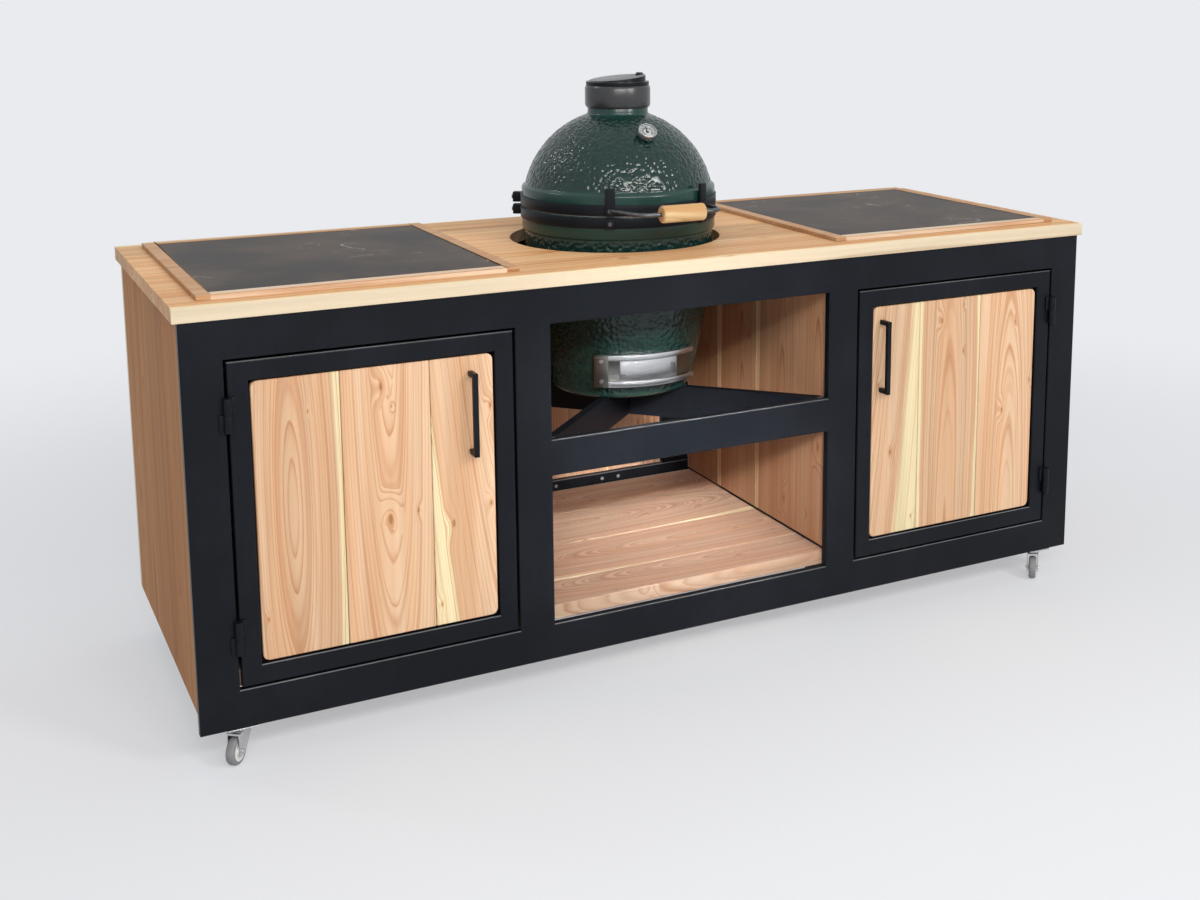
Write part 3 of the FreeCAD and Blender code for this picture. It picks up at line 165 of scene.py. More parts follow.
camera_data = bpy.data.cameras.new("camera")
camera_data.sensor_width = 36.0
camera_data.lens = 45.237
camera_data.shift_x = -0.0933
camera_data.shift_y = -0.175
camera = bpy.data.objects.new("camera", camera_data)
eye = Vector((-1.53404, -3.26773, 1.52757))
across = Vector((0.878983, -0.476851, 0.001577))
downwards = Vector((-0.077143, -0.145462, -0.986352))
forwards = Vector((0.470572, 0.866865, -0.164645))
looking = Matrix((across, -downwards, -forwards)).transposed().to_4x4()
camera.matrix_world = Matrix.Translation(eye) @ looking
scene.collection.objects.link(camera)
scene.camera = camera


# Steel frames
# Flat tube, mitred and welded at the outer corners, ground flush and powder coated satin black.
# The mullions, the rails from front to back and the rear frame are welded in between.
def blend_colours(tree, share, first, second):
    inputs = {0: share, 6: first, 7: second}
    return add_node(tree, "ShaderNodeMix", inputs, data_type="RGBA").outputs[2]


def stretched(tree, place, x, y, z):
    return vector_calc(tree, "MULTIPLY", place, (x, y, z))


def noise(tree, place, scale=1.0, detail=2.0, rough=0.5):
    inputs = {"Vector": place, "Scale": scale, "Detail": detail, "Roughness": rough}
    return add_node(tree, "ShaderNodeTexNoise", inputs).outputs["Fac"]


def bump(tree, height, distance, strength=1.0):
    inputs = {"Height": height, "Distance": distance, "Strength": strength}
    return add_node(tree, "ShaderNodeBump", inputs).outputs["Normal"]


SURFACE = {"Colour": "Color", "Roughness": "Float", "Height": "Float"}


def new_group(name, kind, inputs, outputs):
    """An empty node group with named sockets, and the sockets that bring in what it is given."""
    tree = bpy.data.node_groups.new(name, kind)
    for in_out, sockets in (("INPUT", inputs), ("OUTPUT", outputs)):
        for socket, socket_kind in sockets.items():
            tree.interface.new_socket(socket, in_out=in_out, socket_type=f"NodeSocket{socket_kind}")
    return tree, add_node(tree, "NodeGroupInput").outputs


def coat_group():
    """Powder coat: a fine orange peel and faint patches of handling."""
    inputs = {"Place": "Vector", "Black": "Color", "Worn": "Color"}
    tree, given = new_group("Powder Coat", "ShaderNodeTree", inputs, SURFACE)
    patches = noise(tree, given["Place"], 5.0, 4.0, 0.6)
    streaks = noise(tree, stretched(tree, given["Place"], 60.0, 60.0, 9.0), 1.0, 3.0)
    peel = noise(tree, given["Place"], 620.0, 2.0)
    handled = fade(tree, calc(tree, "MULTIPLY_ADD", streaks, 0.25, patches), 0.5, 0.85, 0.0, 1.0)
    shine = calc(tree, "MULTIPLY_ADD", patches, 0.16, 0.27)
    result = {
        "Colour": blend_colours(tree, handled, given["Black"], given["Worn"]),
        "Roughness": calc(tree, "MULTIPLY_ADD", peel, 0.06, shine),
        "Height": peel,
    }
    add_node(tree, "NodeGroupOutput", result)
    return tree


powder_coat = coat_group()


def dress(tree, shader, surface, relief, strength, specular):
    """Leads a group's colour, roughness and height to the shader; the gloss is the same all over."""
    inputs = {
        "Base Color": surface["Colour"],
        "Roughness": surface["Roughness"],
        "Normal": bump(tree, surface["Height"], relief, strength),
        "Specular IOR Level": specular,
    }
    feed(tree, shader, inputs)


def coated_steel(name, black, worn, specular=0.14):
    material, tree, shader = new_material(name)
    inputs = {"Place": object_place(tree), "Black": black, "Worn": worn}
    coat = add_node(tree, "ShaderNodeGroup", inputs, node_tree=powder_coat).outputs
    dress(tree, shader, coat, 0.0002, 0.25, specular)
    return material


black_steel = coated_steel("black_steel", (0.0050, 0.0064, 0.0094, 1.0), (0.0080, 0.0096, 0.0134, 1.0))
# A pale coat for the upper front roundings: a painted highlight along the edges that face the lamps.
highlight_edge_steel = coated_steel("highlight_edge_steel", (0.10, 0.103, 0.110, 1.0), (0.17, 0.175, 0.182, 1.0), 0.3)
# A slightly darker coat almost without sheen for the flat tops: painted shade.
shade_top_steel = coated_steel(
    "shade_top_steel", (0.0050, 0.0060, 0.0084, 1.0), (0.0080, 0.0092, 0.0120, 1.0), 0.02
)
tube_coats = [black_steel, highlight_edge_steel, shade_top_steel]
PAINTED_HIGHLIGHT = 1
PAINTED_SHADE = 2


def merged_copy(node):
    """A CAD node's mesh with its loose triangles joined into whole faces."""
    mesh = bmesh.new()
    mesh.from_mesh(frame["nodes"][node].data)
    bmesh.ops.remove_doubles(mesh, verts=mesh.verts, dist=1e-5)
    bmesh.ops.dissolve_limit(mesh, angle_limit=math.radians(0.4), verts=mesh.verts, edges=mesh.edges)
    for face in mesh.faces:
        face.smooth = False
    return mesh


CREASE = 35


def ease_edges(mesh, width, segments=2, chosen=lambda edge: True):
    """Rounds the sharp edges, with only the rounding shaded smooth."""
    sharp = [
        edge
        for edge in mesh.edges
        if len(edge.link_faces) == 2 and edge.calc_face_angle() > math.radians(CREASE) and chosen(edge)
    ]
    eased = bmesh.ops.bevel(
        mesh, geom=sharp, offset=width, segments=segments, profile=0.5, affect="EDGES", clamp_overlap=True
    )
    for face in eased["faces"]:
        face.smooth = True
    return eased["faces"]


def make_piece(name, mesh, materials, body, slot, nodes=(), smooth_angle=None):
    """Turns a mesh into a piece that rides on a body and stands for its CAD nodes."""
    data = bpy.data.meshes.new(name)
    mesh.to_mesh(data)
    mesh.free()
    if smooth_angle is not None:
        data.shade_smooth()
        data.set_sharp_from_angle(angle=math.radians(smooth_angle))
    for material in materials if isinstance(materials, list) else [materials]:
        data.materials.append(material)
    piece = bpy.data.objects.new(name, data)
    scene.collection.objects.link(piece)
    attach(piece, body)
    if nodes:
        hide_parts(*nodes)
    return piece


def is_mitre(edge):
    run = (edge.verts[1].co - edge.verts[0].co).normalized()
    return max(abs(run.x), abs(run.y), abs(run.z)) < 0.9


TUBE_CORNER = 0.0028
ACROSS = 0
UP = 2


def tube_piece(node, body, along=None):
    """Rounded tube whose mitres stay shut; its upper front roundings are painted pale as a highlight, its
    flat tops darker as shade.

    A tube butted between others runs on along itself by one rounding, which fills the weld flush.
    """
    mesh = merged_copy(node)
    ends = {face for face in mesh.faces if abs(face.normal.x) > 0.5 and abs(face.normal.z) > 0.5}
    if along is not None:
        butts = [face for face in mesh.faces if abs(face.normal[along]) > 0.9]
        ends.update(butts)
        limits = [vertex.co[along] for face in butts for vertex in face.verts]
        low, high = min(limits), max(limits)
        for vertex in mesh.verts:
            if vertex.co[along] > high - TUBE_CORNER:
                vertex.co[along] += TUBE_CORNER
            elif vertex.co[along] < low + TUBE_CORNER:
                vertex.co[along] -= TUBE_CORNER
    eased = ease_edges(
        mesh, TUBE_CORNER, 3, lambda edge: not is_mitre(edge) and not ends.intersection(edge.link_faces)
    )
    mesh.normal_update()
    # The flat tops take the darker coat: painted shade.
    for face in mesh.faces:
        if face.normal.z > 0.9:
            face.material_index = PAINTED_SHADE
    # The upper front roundings take the pale coat: a painted highlight.
    for face in eased:
        if face.normal.z > 0.4 and face.normal.y < -0.2:
            face.material_index = PAINTED_HIGHLIGHT
    make_piece(f"{node}_tube", mesh, tube_coats, body, "black_steel", [node])


cabinet_tubes = ["front_bottom_rail", "front_top_rail", "front_stiles"]
cabinet_tubes += ["rear_frame", "depth_rails", "cooker_cross"]
for node in cabinet_tubes:
    tube_piece(node, "cabinet")
tube_piece("front_mullions", "cabinet", UP)
tube_piece("front_mid_rail", "cabinet", ACROSS)


# Softwood boards
# Planed larch: upright boards on the sides, the back and the bay walls, lengthwise boards on the floors.
# Each board is cut from its own log, so its rings, heartwood and knots differ from its neighbour's.
RING_STOPS = ((0.0, 0.0), (0.38, 0.08), (0.66, 0.50), (0.84, 1.0), (0.94, 0.40), (1.0, 0.0))
RED_TINT = (0.90, 0.72, 0.58)
KNOT_BROWN = (0.30, 0.125, 0.052, 1.0)


def swayed(tree, value, wave, amount):
    """Moves a value up and down by a noise about its middle."""
    return calc(tree, "MULTIPLY_ADD", calc(tree, "SUBTRACT", wave, 0.5), amount, value)


def softwood_group():
    """Rings about a pith that lies off the board, heartwood and sapwood, fibres and knots."""
    inputs = {
        "Place": "Vector",
        "Board": "Vector",
        "Log": "Vector",
        "Ring Spacing": "Float",
        "Heartwood": "Color",
        "Sapwood": "Color",
        "Late Wood": "Color",
        "Knots": "Float",
    }
    tree, given = new_group("Softwood", "ShaderNodeTree", inputs, SURFACE)
    place = given["Place"]
    board = add_node(tree, "ShaderNodeSeparateXYZ", {0: given["Board"]}).outputs
    log = add_node(tree, "ShaderNodeSeparateXYZ", {0: given["Log"]}).outputs

    bend_inputs = {"Vector": stretched(tree, place, 1.0, 5.0, 5.0), "Scale": 1.0, "Detail": 2.0}
    bend = add_node(tree, "ShaderNodeTexNoise", bend_inputs).outputs["Color"]
    centred = vector_calc(tree, "SUBTRACT", bend, (0.5, 0.5, 0.5))
    bent = vector_calc(tree, "ADD", place, stretched(tree, centred, 0.0, 0.014, 0.008))

    knot_place = stretched(tree, place, 5.0, 10.0, 0.0)
    cells_inputs = {"Vector": knot_place, "Scale": 1.0}
    cells = add_node(tree, "ShaderNodeTexVoronoi", cells_inputs, voronoi_dimensions="2D").outputs
    from_knot = vector_calc(tree, "SUBTRACT", cells["Position"], knot_place)
    from_knot = vector_calc(tree, "LENGTH", stretched(tree, from_knot, 0.08, 0.10, 0.0))
    chance = add_node(tree, "ShaderNodeSeparateColor", {0: cells["Color"]}).outputs
    has_knot = calc(tree, "LESS_THAN", chance["Red"], given["Knots"])
    knot_size = calc(tree, "MULTIPLY_ADD", calc(tree, "POWER", chance["Green"], 3.0), 0.0042, 0.0014)
    core = fade(tree, from_knot, calc(tree, "MULTIPLY", knot_size, 0.6), knot_size, 1.0, 0.0)
    core = calc(tree, "MULTIPLY", core, has_knot)
    halo = fade(tree, from_knot, knot_size, calc(tree, "MULTIPLY", knot_size, 2.6), 1.0, 0.0)
    halo = calc(tree, "MULTIPLY", halo, has_knot)
    pull = fade(tree, from_knot, 0.0, calc(tree, "MULTIPLY", knot_size, 7.0), 3.0, 0.0)
    pull = calc(tree, "MULTIPLY", calc(tree, "MULTIPLY", pull, has_knot), knot_size)

    cross = stretched(tree, bent, 0.0, 1.0, 1.0)
    square = vector_calc(tree, "DOT_PRODUCT", cross, cross)
    bow = calc(tree, "MULTIPLY", calc(tree, "MULTIPLY", log["X"], log["X"]), log["Z"])
    radius = calc(tree, "SQRT", calc(tree, "ADD", square, bow))
    radius = calc(tree, "MULTIPLY_ADD", log["X"], log["Y"], radius)
    radius = calc(tree, "ADD", radius, pull)
    ripple = noise(tree, stretched(tree, place, 3.0, 34.0, 34.0), 1.0, 3.0)
    radius = swayed(tree, radius, ripple, 0.0030)
    uneven_inputs = {"W": calc(tree, "MULTIPLY", radius, 26.0), "Detail": 1.0}
    uneven = add_node(tree, "ShaderNodeTexNoise", uneven_inputs, noise_dimensions="1D").outputs["Fac"]
    rings = calc(tree, "MULTIPLY_ADD", uneven, 3.0, calc(tree, "DIVIDE", radius, given["Ring Spacing"]))
    ramp = add_node(tree, "ShaderNodeValToRGB", {0: calc(tree, "FRACT", rings)})
    for index, (position, level) in enumerate(RING_STOPS):
        stop = ramp.color_ramp.elements[index] if index < 2 else ramp.color_ramp.elements.new(position)
        stop.position = position
        stop.color = (level, level, level, 1.0)
    each_ring = add_node(
        tree, "ShaderNodeTexWhiteNoise", {"W": calc(tree, "FLOOR", rings)}, noise_dimensions="1D"
    ).outputs["Value"]
    late = calc(tree, "MULTIPLY_ADD", each_ring, 0.65, 0.35)
    late = calc(tree, "MULTIPLY", ramp.outputs["Color"], late)

    heart_edge = swayed(tree, radius, ripple, 0.012)
    heart_start = calc(tree, "SUBTRACT", board["Y"], 0.003)
    heart = fade(tree, heart_edge, heart_start, calc(tree, "ADD", board["Y"], 0.003), 1.0, 0.0)
    fibre = noise(tree, stretched(tree, place, 11.0, 420.0, 420.0), 1.0, 3.0, 0.65)
    streak = noise(tree, stretched(tree, place, 1.2, 55.0, 55.0), 1.0, 2.0)
    resin = fade(tree, noise(tree, stretched(tree, place, 1.7, 80.0, 80.0), 1.0, 2.0), 0.62, 0.78, 0.0, 0.7)
    border = fade(tree, heart_edge, calc(tree, "SUBTRACT", board["Y"], 0.022), board["Y"], 0.0, 0.5)
    flame = fade(tree, noise(tree, stretched(tree, place, 0.9, 18.0, 18.0), 1.0, 2.0), 0.40, 0.66, 0.0, 0.6)
    red = calc(tree, "MAXIMUM", calc(tree, "MAXIMUM", resin, border), flame)
    red = calc(tree, "MULTIPLY", red, heart)
    red = calc(tree, "MAXIMUM", red, calc(tree, "MULTIPLY", halo, 0.8))

    plain = blend_colours(tree, heart, given["Sapwood"], given["Heartwood"])
    tone = calc(tree, "MULTIPLY_ADD", board["X"], 0.26, 0.87)
    tone = swayed(tree, tone, streak, 0.34)
    tone = swayed(tree, tone, fibre, 0.16)
    toned = add_node(tree, "ShaderNodeVectorMath", {0: plain, "Scale": tone}, operation="SCALE").outputs[0]
    darker = vector_calc(tree, "MULTIPLY", toned, given["Late Wood"])
    ringed = blend_colours(tree, late, toned, darker)
    reddened = vector_calc(tree, "MULTIPLY", ringed, RED_TINT)
    ringed = blend_colours(tree, red, ringed, reddened)
    dull = calc(tree, "MULTIPLY_ADD", fibre, 0.16, 0.42)
    raised = calc(tree, "MULTIPLY_ADD", late, 0.5, calc(tree, "MULTIPLY", fibre, 0.7))
    result = {
        "Colour": blend_colours(tree, calc(tree, "MULTIPLY", core, 0.7), ringed, KNOT_BROWN),
        "Roughness": calc(tree, "MULTIPLY_ADD", late, -0.08, dull),
        "Height": calc(tree, "MULTIPLY_ADD", core, -0.4, raised),
    }
    add_node(tree, "NodeGroupOutput", result)
    return tree


softwood = softwood_group()


def board_wood(name, heartwood, sapwood, late_wood, ring_spacing, knots, specular=0.25):
    """A finish of the softwood; knots is the share of the places for a knot that have one."""
    material, tree, shader = new_material(name)
    inputs = {
        "Ring Spacing": ring_spacing,
        "Heartwood": heartwood,
        "Sapwood": sapwood,
        "Late Wood": late_wood,
        "Knots": knots,
    }
    for socket, attribute in (("Place", "grain"), ("Board", "board"), ("Log", "log")):
        inputs[socket] = add_node(tree, "ShaderNodeAttribute", attribute_name=attribute).outputs["Vector"]
    wood = add_node(tree, "ShaderNodeGroup", inputs, node_tree=softwood).outputs
    dress(tree, shader, wood, 0.0003, 0.5, specular)
    return material


def separate_boards(mesh):
    """The vertices of each board, which touch no other board."""
    left = set(mesh.verts)
    while left:
        board = {left.pop()}
        edge = list(board)
        while edge:
            vertex = edge.pop()
            for link in vertex.link_edges:
                other = link.other_vert(vertex)
                if other not in board:
                    board.add(other)
                    edge.append(other)
        left -= board
        yield board


def mark_grain(mesh, along, seed, logs=None):
    """Gives each board its place in a log: the way along it, and the way across and through it from the pith.

    A log is the pith across and through from the board's middle, the heartwood's radius, the taper,
    and the place along the board where the pith lies nearest and how fast it then draws away.
    """
    grain = mesh.verts.layers.float_vector.new("grain")
    tag = mesh.verts.layers.float_vector.new("board")
    shape = mesh.verts.layers.float_vector.new("log")
    boards = sorted(
        separate_boards(mesh),
        key=lambda board: tuple(round(min(vertex.co[axis] for vertex in board), 4) for axis in range(3)),
    )
    chance = random.Random(seed)
    for index, board in enumerate(boards):
        low = [min(vertex.co[axis] for vertex in board) for axis in range(3)]
        high = [max(vertex.co[axis] for vertex in board) for axis in range(3)]
        middle = [(low[axis] + high[axis]) / 2 for axis in range(3)]
        size = [high[axis] - low[axis] for axis in range(3)]
        across, through = sorted((axis for axis in range(3) if axis != along), key=lambda axis: -size[axis])
        start = chance.uniform(0.0, 30.0)
        tone = chance.random()
        pith_across = chance.uniform(-0.05, 0.05)
        pith_through = chance.uniform(0.012, 0.06) * chance.choice((-1.0, 1.0))
        edge = math.hypot(size[across] / 2 + abs(pith_across), pith_through)
        heart_radius = edge - chance.uniform(-0.020, 0.014)
        half = max(size[along] / 2, 0.25)
        taper = chance.uniform(-0.010, 0.010) / half
        bow_place = chance.uniform(-1.5, 1.5) * half
        bow = chance.uniform(0.0002, 0.0009) / half**2
        if logs and index in logs:
            pith_across, pith_through, heart_radius, taper, bow_place, bow = logs[index]
        for vertex in board:
            offset = vertex.co[along] - middle[along]
            vertex[grain] = (
                start + offset,
                vertex.co[across] - middle[across] - pith_across,
                vertex.co[through] - middle[through] - pith_through,
            )
            vertex[tag] = (tone, heart_radius, 0.0)
            vertex[shape] = (offset - bow_place, taper, bow)


def board_piece(name, node, body, material, along, seed, ease=0.0011, logs=None):
    mesh = merged_copy(node)
    ease_edges(mesh, ease)
    mark_grain(mesh, along, seed, logs)
    return make_piece(name, mesh, material, body, "board_wood", [node])


FRONT_FACING = -0.6


def mark_fronts(mesh):
    """Gives the faces that look to the front the second material of their piece."""
    mesh.normal_update()
    for face in mesh.faces:
        if face.normal.y < FRONT_FACING:
            face.material_index = 1


# The side boards take a darker wood than the other boards: painted shade.
shaded_side_wood = board_wood(
    "shaded_side_wood", (0.52, 0.265, 0.115, 1.0), (0.68, 0.46, 0.24, 1.0), (0.62, 0.46, 0.34, 1.0),
    ring_spacing=0.0065, knots=0.45, specular=0.02,
)
bay_wood = board_wood(
    "bay_wood", (0.58, 0.335, 0.200, 1.0), (0.84, 0.64, 0.40, 1.0), (0.62, 0.45, 0.35, 1.0),
    ring_spacing=0.0080, knots=0.60,
)
# The back boards take a paler wood than the bay walls: painted light, for the lit strip of them seen above
# the rear bar.
lit_back_wood = board_wood(
    "lit_back_wood", (0.64, 0.42, 0.275, 1.0), (0.86, 0.72, 0.48, 1.0), (0.62, 0.45, 0.35, 1.0),
    ring_spacing=0.0070, knots=0.5,
)
shelf_wood = board_wood(
    "shelf_wood", (0.70, 0.500, 0.380, 1.0), (0.90, 0.78, 0.56, 1.0), (0.56, 0.38, 0.30, 1.0),
    ring_spacing=0.0075, knots=0.85,
)
# A darker wood for the shelf's front faces than for its top: painted shade.
shelf_front_shade_wood = board_wood(
    "shelf_front_shade_wood", (0.56, 0.42, 0.31, 1.0), (0.64, 0.55, 0.40, 1.0), (0.66, 0.47, 0.36, 1.0),
    ring_spacing=0.0070, knots=0.55,
)
bay_wall_logs = {index: (-0.03, 0.03, 0.1185, 0.0, 0.3 - 0.1 * index, 0.004) for index in range(8)}
bay_floor_logs = {
    4: (0.030, 0.012, 0.118, 0.0, 0.22, 0.016),
    5: (0.020, 0.012, 0.122, 0.0, 0.20, 0.018),
    6: (0.025, 0.015, 0.127, 0.0, -0.15, 0.024),
    7: (0.000, 0.012, 0.250, 0.0, 0.10, 0.030),
}
board_piece("left_side_panel", "left_side_boards", "cabinet", shaded_side_wood, UP, 11)
board_piece("right_side_panel", "right_side_boards", "cabinet", shaded_side_wood, UP, 12)
board_piece("back_panel", "back_boards", "cabinet", lit_back_wood, UP, 13)
board_piece("bay_walls", "bay_wall_boards", "cabinet", bay_wood, UP, 14, logs=bay_wall_logs)
mesh = merged_copy("floor_boards")
ease_edges(mesh, 0.0030, 3)
mark_grain(mesh, ACROSS, 15, bay_floor_logs)
# The shelf's front faces take the darker wood: painted shade.
mark_fronts(mesh)
make_piece("shelf_boards", mesh, [shelf_wood, shelf_front_shade_wood], "cabinet", "board_wood", ["floor_boards"])


# Worktop
# Four thick lengthwise planks of the same wood, the middle ones cut round for the cooker.
# They lie on the frame and stand out past it all round; their front edge is paler than the top.
worktop_wood = board_wood(
    "worktop_wood", (0.72, 0.455, 0.240, 1.0), (0.84, 0.68, 0.42, 1.0), (0.66, 0.47, 0.35, 1.0),
    ring_spacing=0.0065, knots=0.30, specular=0.08,
)
worktop_edge_wood = board_wood(
    "worktop_edge_wood", (0.62, 0.47, 0.32, 1.0), (0.65, 0.54, 0.39, 1.0), (0.52, 0.37, 0.28, 1.0),
    ring_spacing=0.0090, knots=0.10, specular=0.1,
)
front_plank = {0: (0.02, -0.030, 0.116, 0.0, 0.4, 0.0004)}
mesh = merged_copy("worktop_planks")
ease_edges(mesh, 0.0016)
mark_grain(mesh, ACROSS, 21, front_plank)
mark_fronts(mesh)
make_piece("worktop", mesh, [worktop_wood, worktop_edge_wood], "cabinet", "worktop_wood", ["worktop_planks"])


# Stone slabs
# Two tiles of dark natural stone with a satin face and fine pale veins.
# They lie loose on the worktop, each in a border of planed wooden strips.
# The stone's ground is tinted warm: partly its own tone and partly a painted warm reflection of the
# surroundings.
STONE_DARK = (0.016, 0.0125, 0.0098, 1.0)
STONE_PALE = (0.074, 0.0560, 0.0425, 1.0)
BOLD_VEIN = (0.42, 0.42, 0.41, 1.0)
HAIR_VEIN = (0.26, 0.26, 0.26, 1.0)
FRONT_STRIPS = -0.30
LONG_FACE = 0.002


def veins(tree, place, scale, width):
    """Thin lines where a noise passes through its middle."""
    line = noise(tree, place, scale, 3.0, 0.55)
    line = calc(tree, "ABSOLUTE", calc(tree, "SUBTRACT", line, 0.5))
    return fade(tree, line, 0.0, width, 1.0, 0.0)


def eased_piece(name, node, material, body, slot, ease, smooth_angle=None, segments=2):
    mesh = merged_copy(node)
    ease_edges(mesh, ease, segments)
    make_piece(name, mesh, material, body, slot, [node], smooth_angle)


stone, tree, shader = new_material("veined_stone")
place = object_place(tree)
clouds = noise(tree, place, 4.0, 6.0, 0.62)
warp = add_node(tree, "ShaderNodeTexNoise", {"Vector": place, "Scale": 2.2, "Detail": 5.0}).outputs["Color"]
warped = vector_calc(tree, "ADD", place, stretched(tree, warp, 0.55, 0.55, 0.0))
bold = calc(tree, "MULTIPLY", veins(tree, warped, 2.6, 0.006), fade(tree, clouds, 0.54, 0.66, 0.0, 1.0))
hair = calc(tree, "MULTIPLY", veins(tree, warped, 7.0, 0.007), fade(tree, clouds, 0.46, 0.70, 0.0, 0.30))
grains = noise(tree, place, 900.0, 2.0)
ground = blend_colours(tree, fade(tree, clouds, 0.34, 0.66, 0.0, 1.0), STONE_DARK, STONE_PALE)
veined = blend_colours(tree, calc(tree, "MULTIPLY", bold, 0.75), ground, BOLD_VEIN)
satin = calc(tree, "MULTIPLY_ADD", clouds, 0.18, 0.22)
stone_face = {
    "Base Color": blend_colours(tree, hair, veined, HAIR_VEIN),
    "Roughness": calc(tree, "MULTIPLY_ADD", grains, 0.08, satin),
    "Normal": bump(tree, grains, 0.0002, 0.2),
    "Specular IOR Level": 0.03,
}
feed(tree, shader, stone_face)
for node in ("left_slab", "right_slab"):
    eased_piece(f"{node}_stone", node, stone, "cabinet", "stone", 0.0012)

border_wood = board_wood(
    "border_wood", (0.64, 0.40, 0.225, 1.0), (0.84, 0.68, 0.44, 1.0), (0.62, 0.45, 0.34, 1.0),
    ring_spacing=0.0045, knots=0.20, specular=0.1,
)
pale_border_wood = board_wood(
    "pale_border_wood", (0.86, 0.70, 0.53, 1.0), (0.88, 0.76, 0.58, 1.0), (0.66, 0.47, 0.36, 1.0),
    ring_spacing=0.0060, knots=0.30, specular=0.1,
)
border_woods = [border_wood, pale_border_wood]
mesh = merged_copy("slab_borders")
ease_edges(mesh, 0.0014)
mark_grain(mesh, ACROSS, 31)
for face in mesh.faces:
    if face.calc_center_median().y < FRONT_STRIPS and face.calc_area() > LONG_FACE:
        face.material_index = 1
make_piece("slab_border_strips", mesh, border_woods, "cabinet", "worktop_wood", ["slab_borders"])


# Doors
# A mitred frame of narrow tube with three upright boards let in, held by straps behind.
# Weld-on barrel hinges carry each door, and a square bar bent to a U pulls it open.
DOOR_HEARTWOOD = (0.73, 0.502, 0.326, 1.0)
DOOR_SAPWOOD = (0.85, 0.72, 0.45, 1.0)
DOOR_LATE_WOOD = (0.72, 0.51, 0.38, 1.0)
door_logs = {
    "left_door": {
        0: (-0.014, 0.018, 0.0935, 0.0, 0.02, 0.012),
        1: (0.004, 0.015, 0.250, 0.0, 0.45, 0.006),
        2: (0.090, 0.040, 0.1451, -0.103, 0.0, 0.0),
    },
    "right_door": {
        0: (-0.090, 0.040, 0.122, -0.0739, 0.0, 0.0),
        1: (0.001, 0.015, 0.0788, -0.029, -0.45, 0.006),
        2: (0.013, 0.015, 0.250, -0.010, -0.45, 0.006),
    },
}
for door, seed, ring_spacing in (("left_door", 41, 0.0062), ("right_door", 52, 0.0085)):
    door_wood = board_wood(
        f"{door}_wood", DOOR_HEARTWOOD, DOOR_SAPWOOD, DOOR_LATE_WOOD, ring_spacing, knots=0.70
    )
    tube_piece(f"{door}_frame", door)
    board_piece(f"{door}_panel", f"{door}_boards", door, door_wood, UP, seed, 0.0020, door_logs[door])
    eased_piece(f"{door}_bar_pull", f"{door}_pull", black_steel, door, "black_steel", 0.0016, segments=3)
    eased_piece(f"{door}_hinge_sleeves", f"{door}_hinges", black_steel, door, "black_steel", 0.0006, CREASE)
    eased_piece(f"{door}_back_straps", f"{door}_straps", black_steel, door, "black_steel", 0.0006)
for node in ("hinge_barrels", "door_catches"):
    eased_piece(f"{node}_steel", node, black_steel, "cabinet", "black_steel", 0.0006, CREASE)


# Screws and bolts
# Zinc-plated heads with a hexagon socket, driven through the door straps and the bar along the back.
# The same heads come again on the cooker's clamps and draft frame.
def mottled(name, dark, pale, drift, roughness, grain=None, relief=None, metallic=0.0):
    """Two tones that drift into each other, under a finer grain where the surface has one.

    Drift and grain are the scale and detail of a noise; relief is the height and strength of the grain.
    The roughness is one number, or how far the grain moves it and its least.
    """
    material, tree, shader = new_material(name)
    place = object_place(tree)
    tones = noise(tree, place, *drift)
    fine = noise(tree, place, *grain) if grain else tones
    if isinstance(roughness, tuple):
        roughness = calc(tree, "MULTIPLY_ADD", fine, *roughness)
    colour = blend_colours(tree, tones, dark, pale)
    feed(tree, shader, {"Base Color": colour, "Roughness": roughness, "Metallic": metallic})
    if relief:
        feed(tree, shader, {"Normal": bump(tree, fine, *relief)})
    return material


zinc = mottled(
    "zinc_plate",
    (0.46, 0.46, 0.47, 1.0),
    (0.66, 0.66, 0.67, 1.0),
    drift=(24.0, 3.0),
    roughness=(0.2, 0.22),
    grain=(160.0, 3.0),
    relief=(0.0002, 0.2),
    metallic=1.0,
)


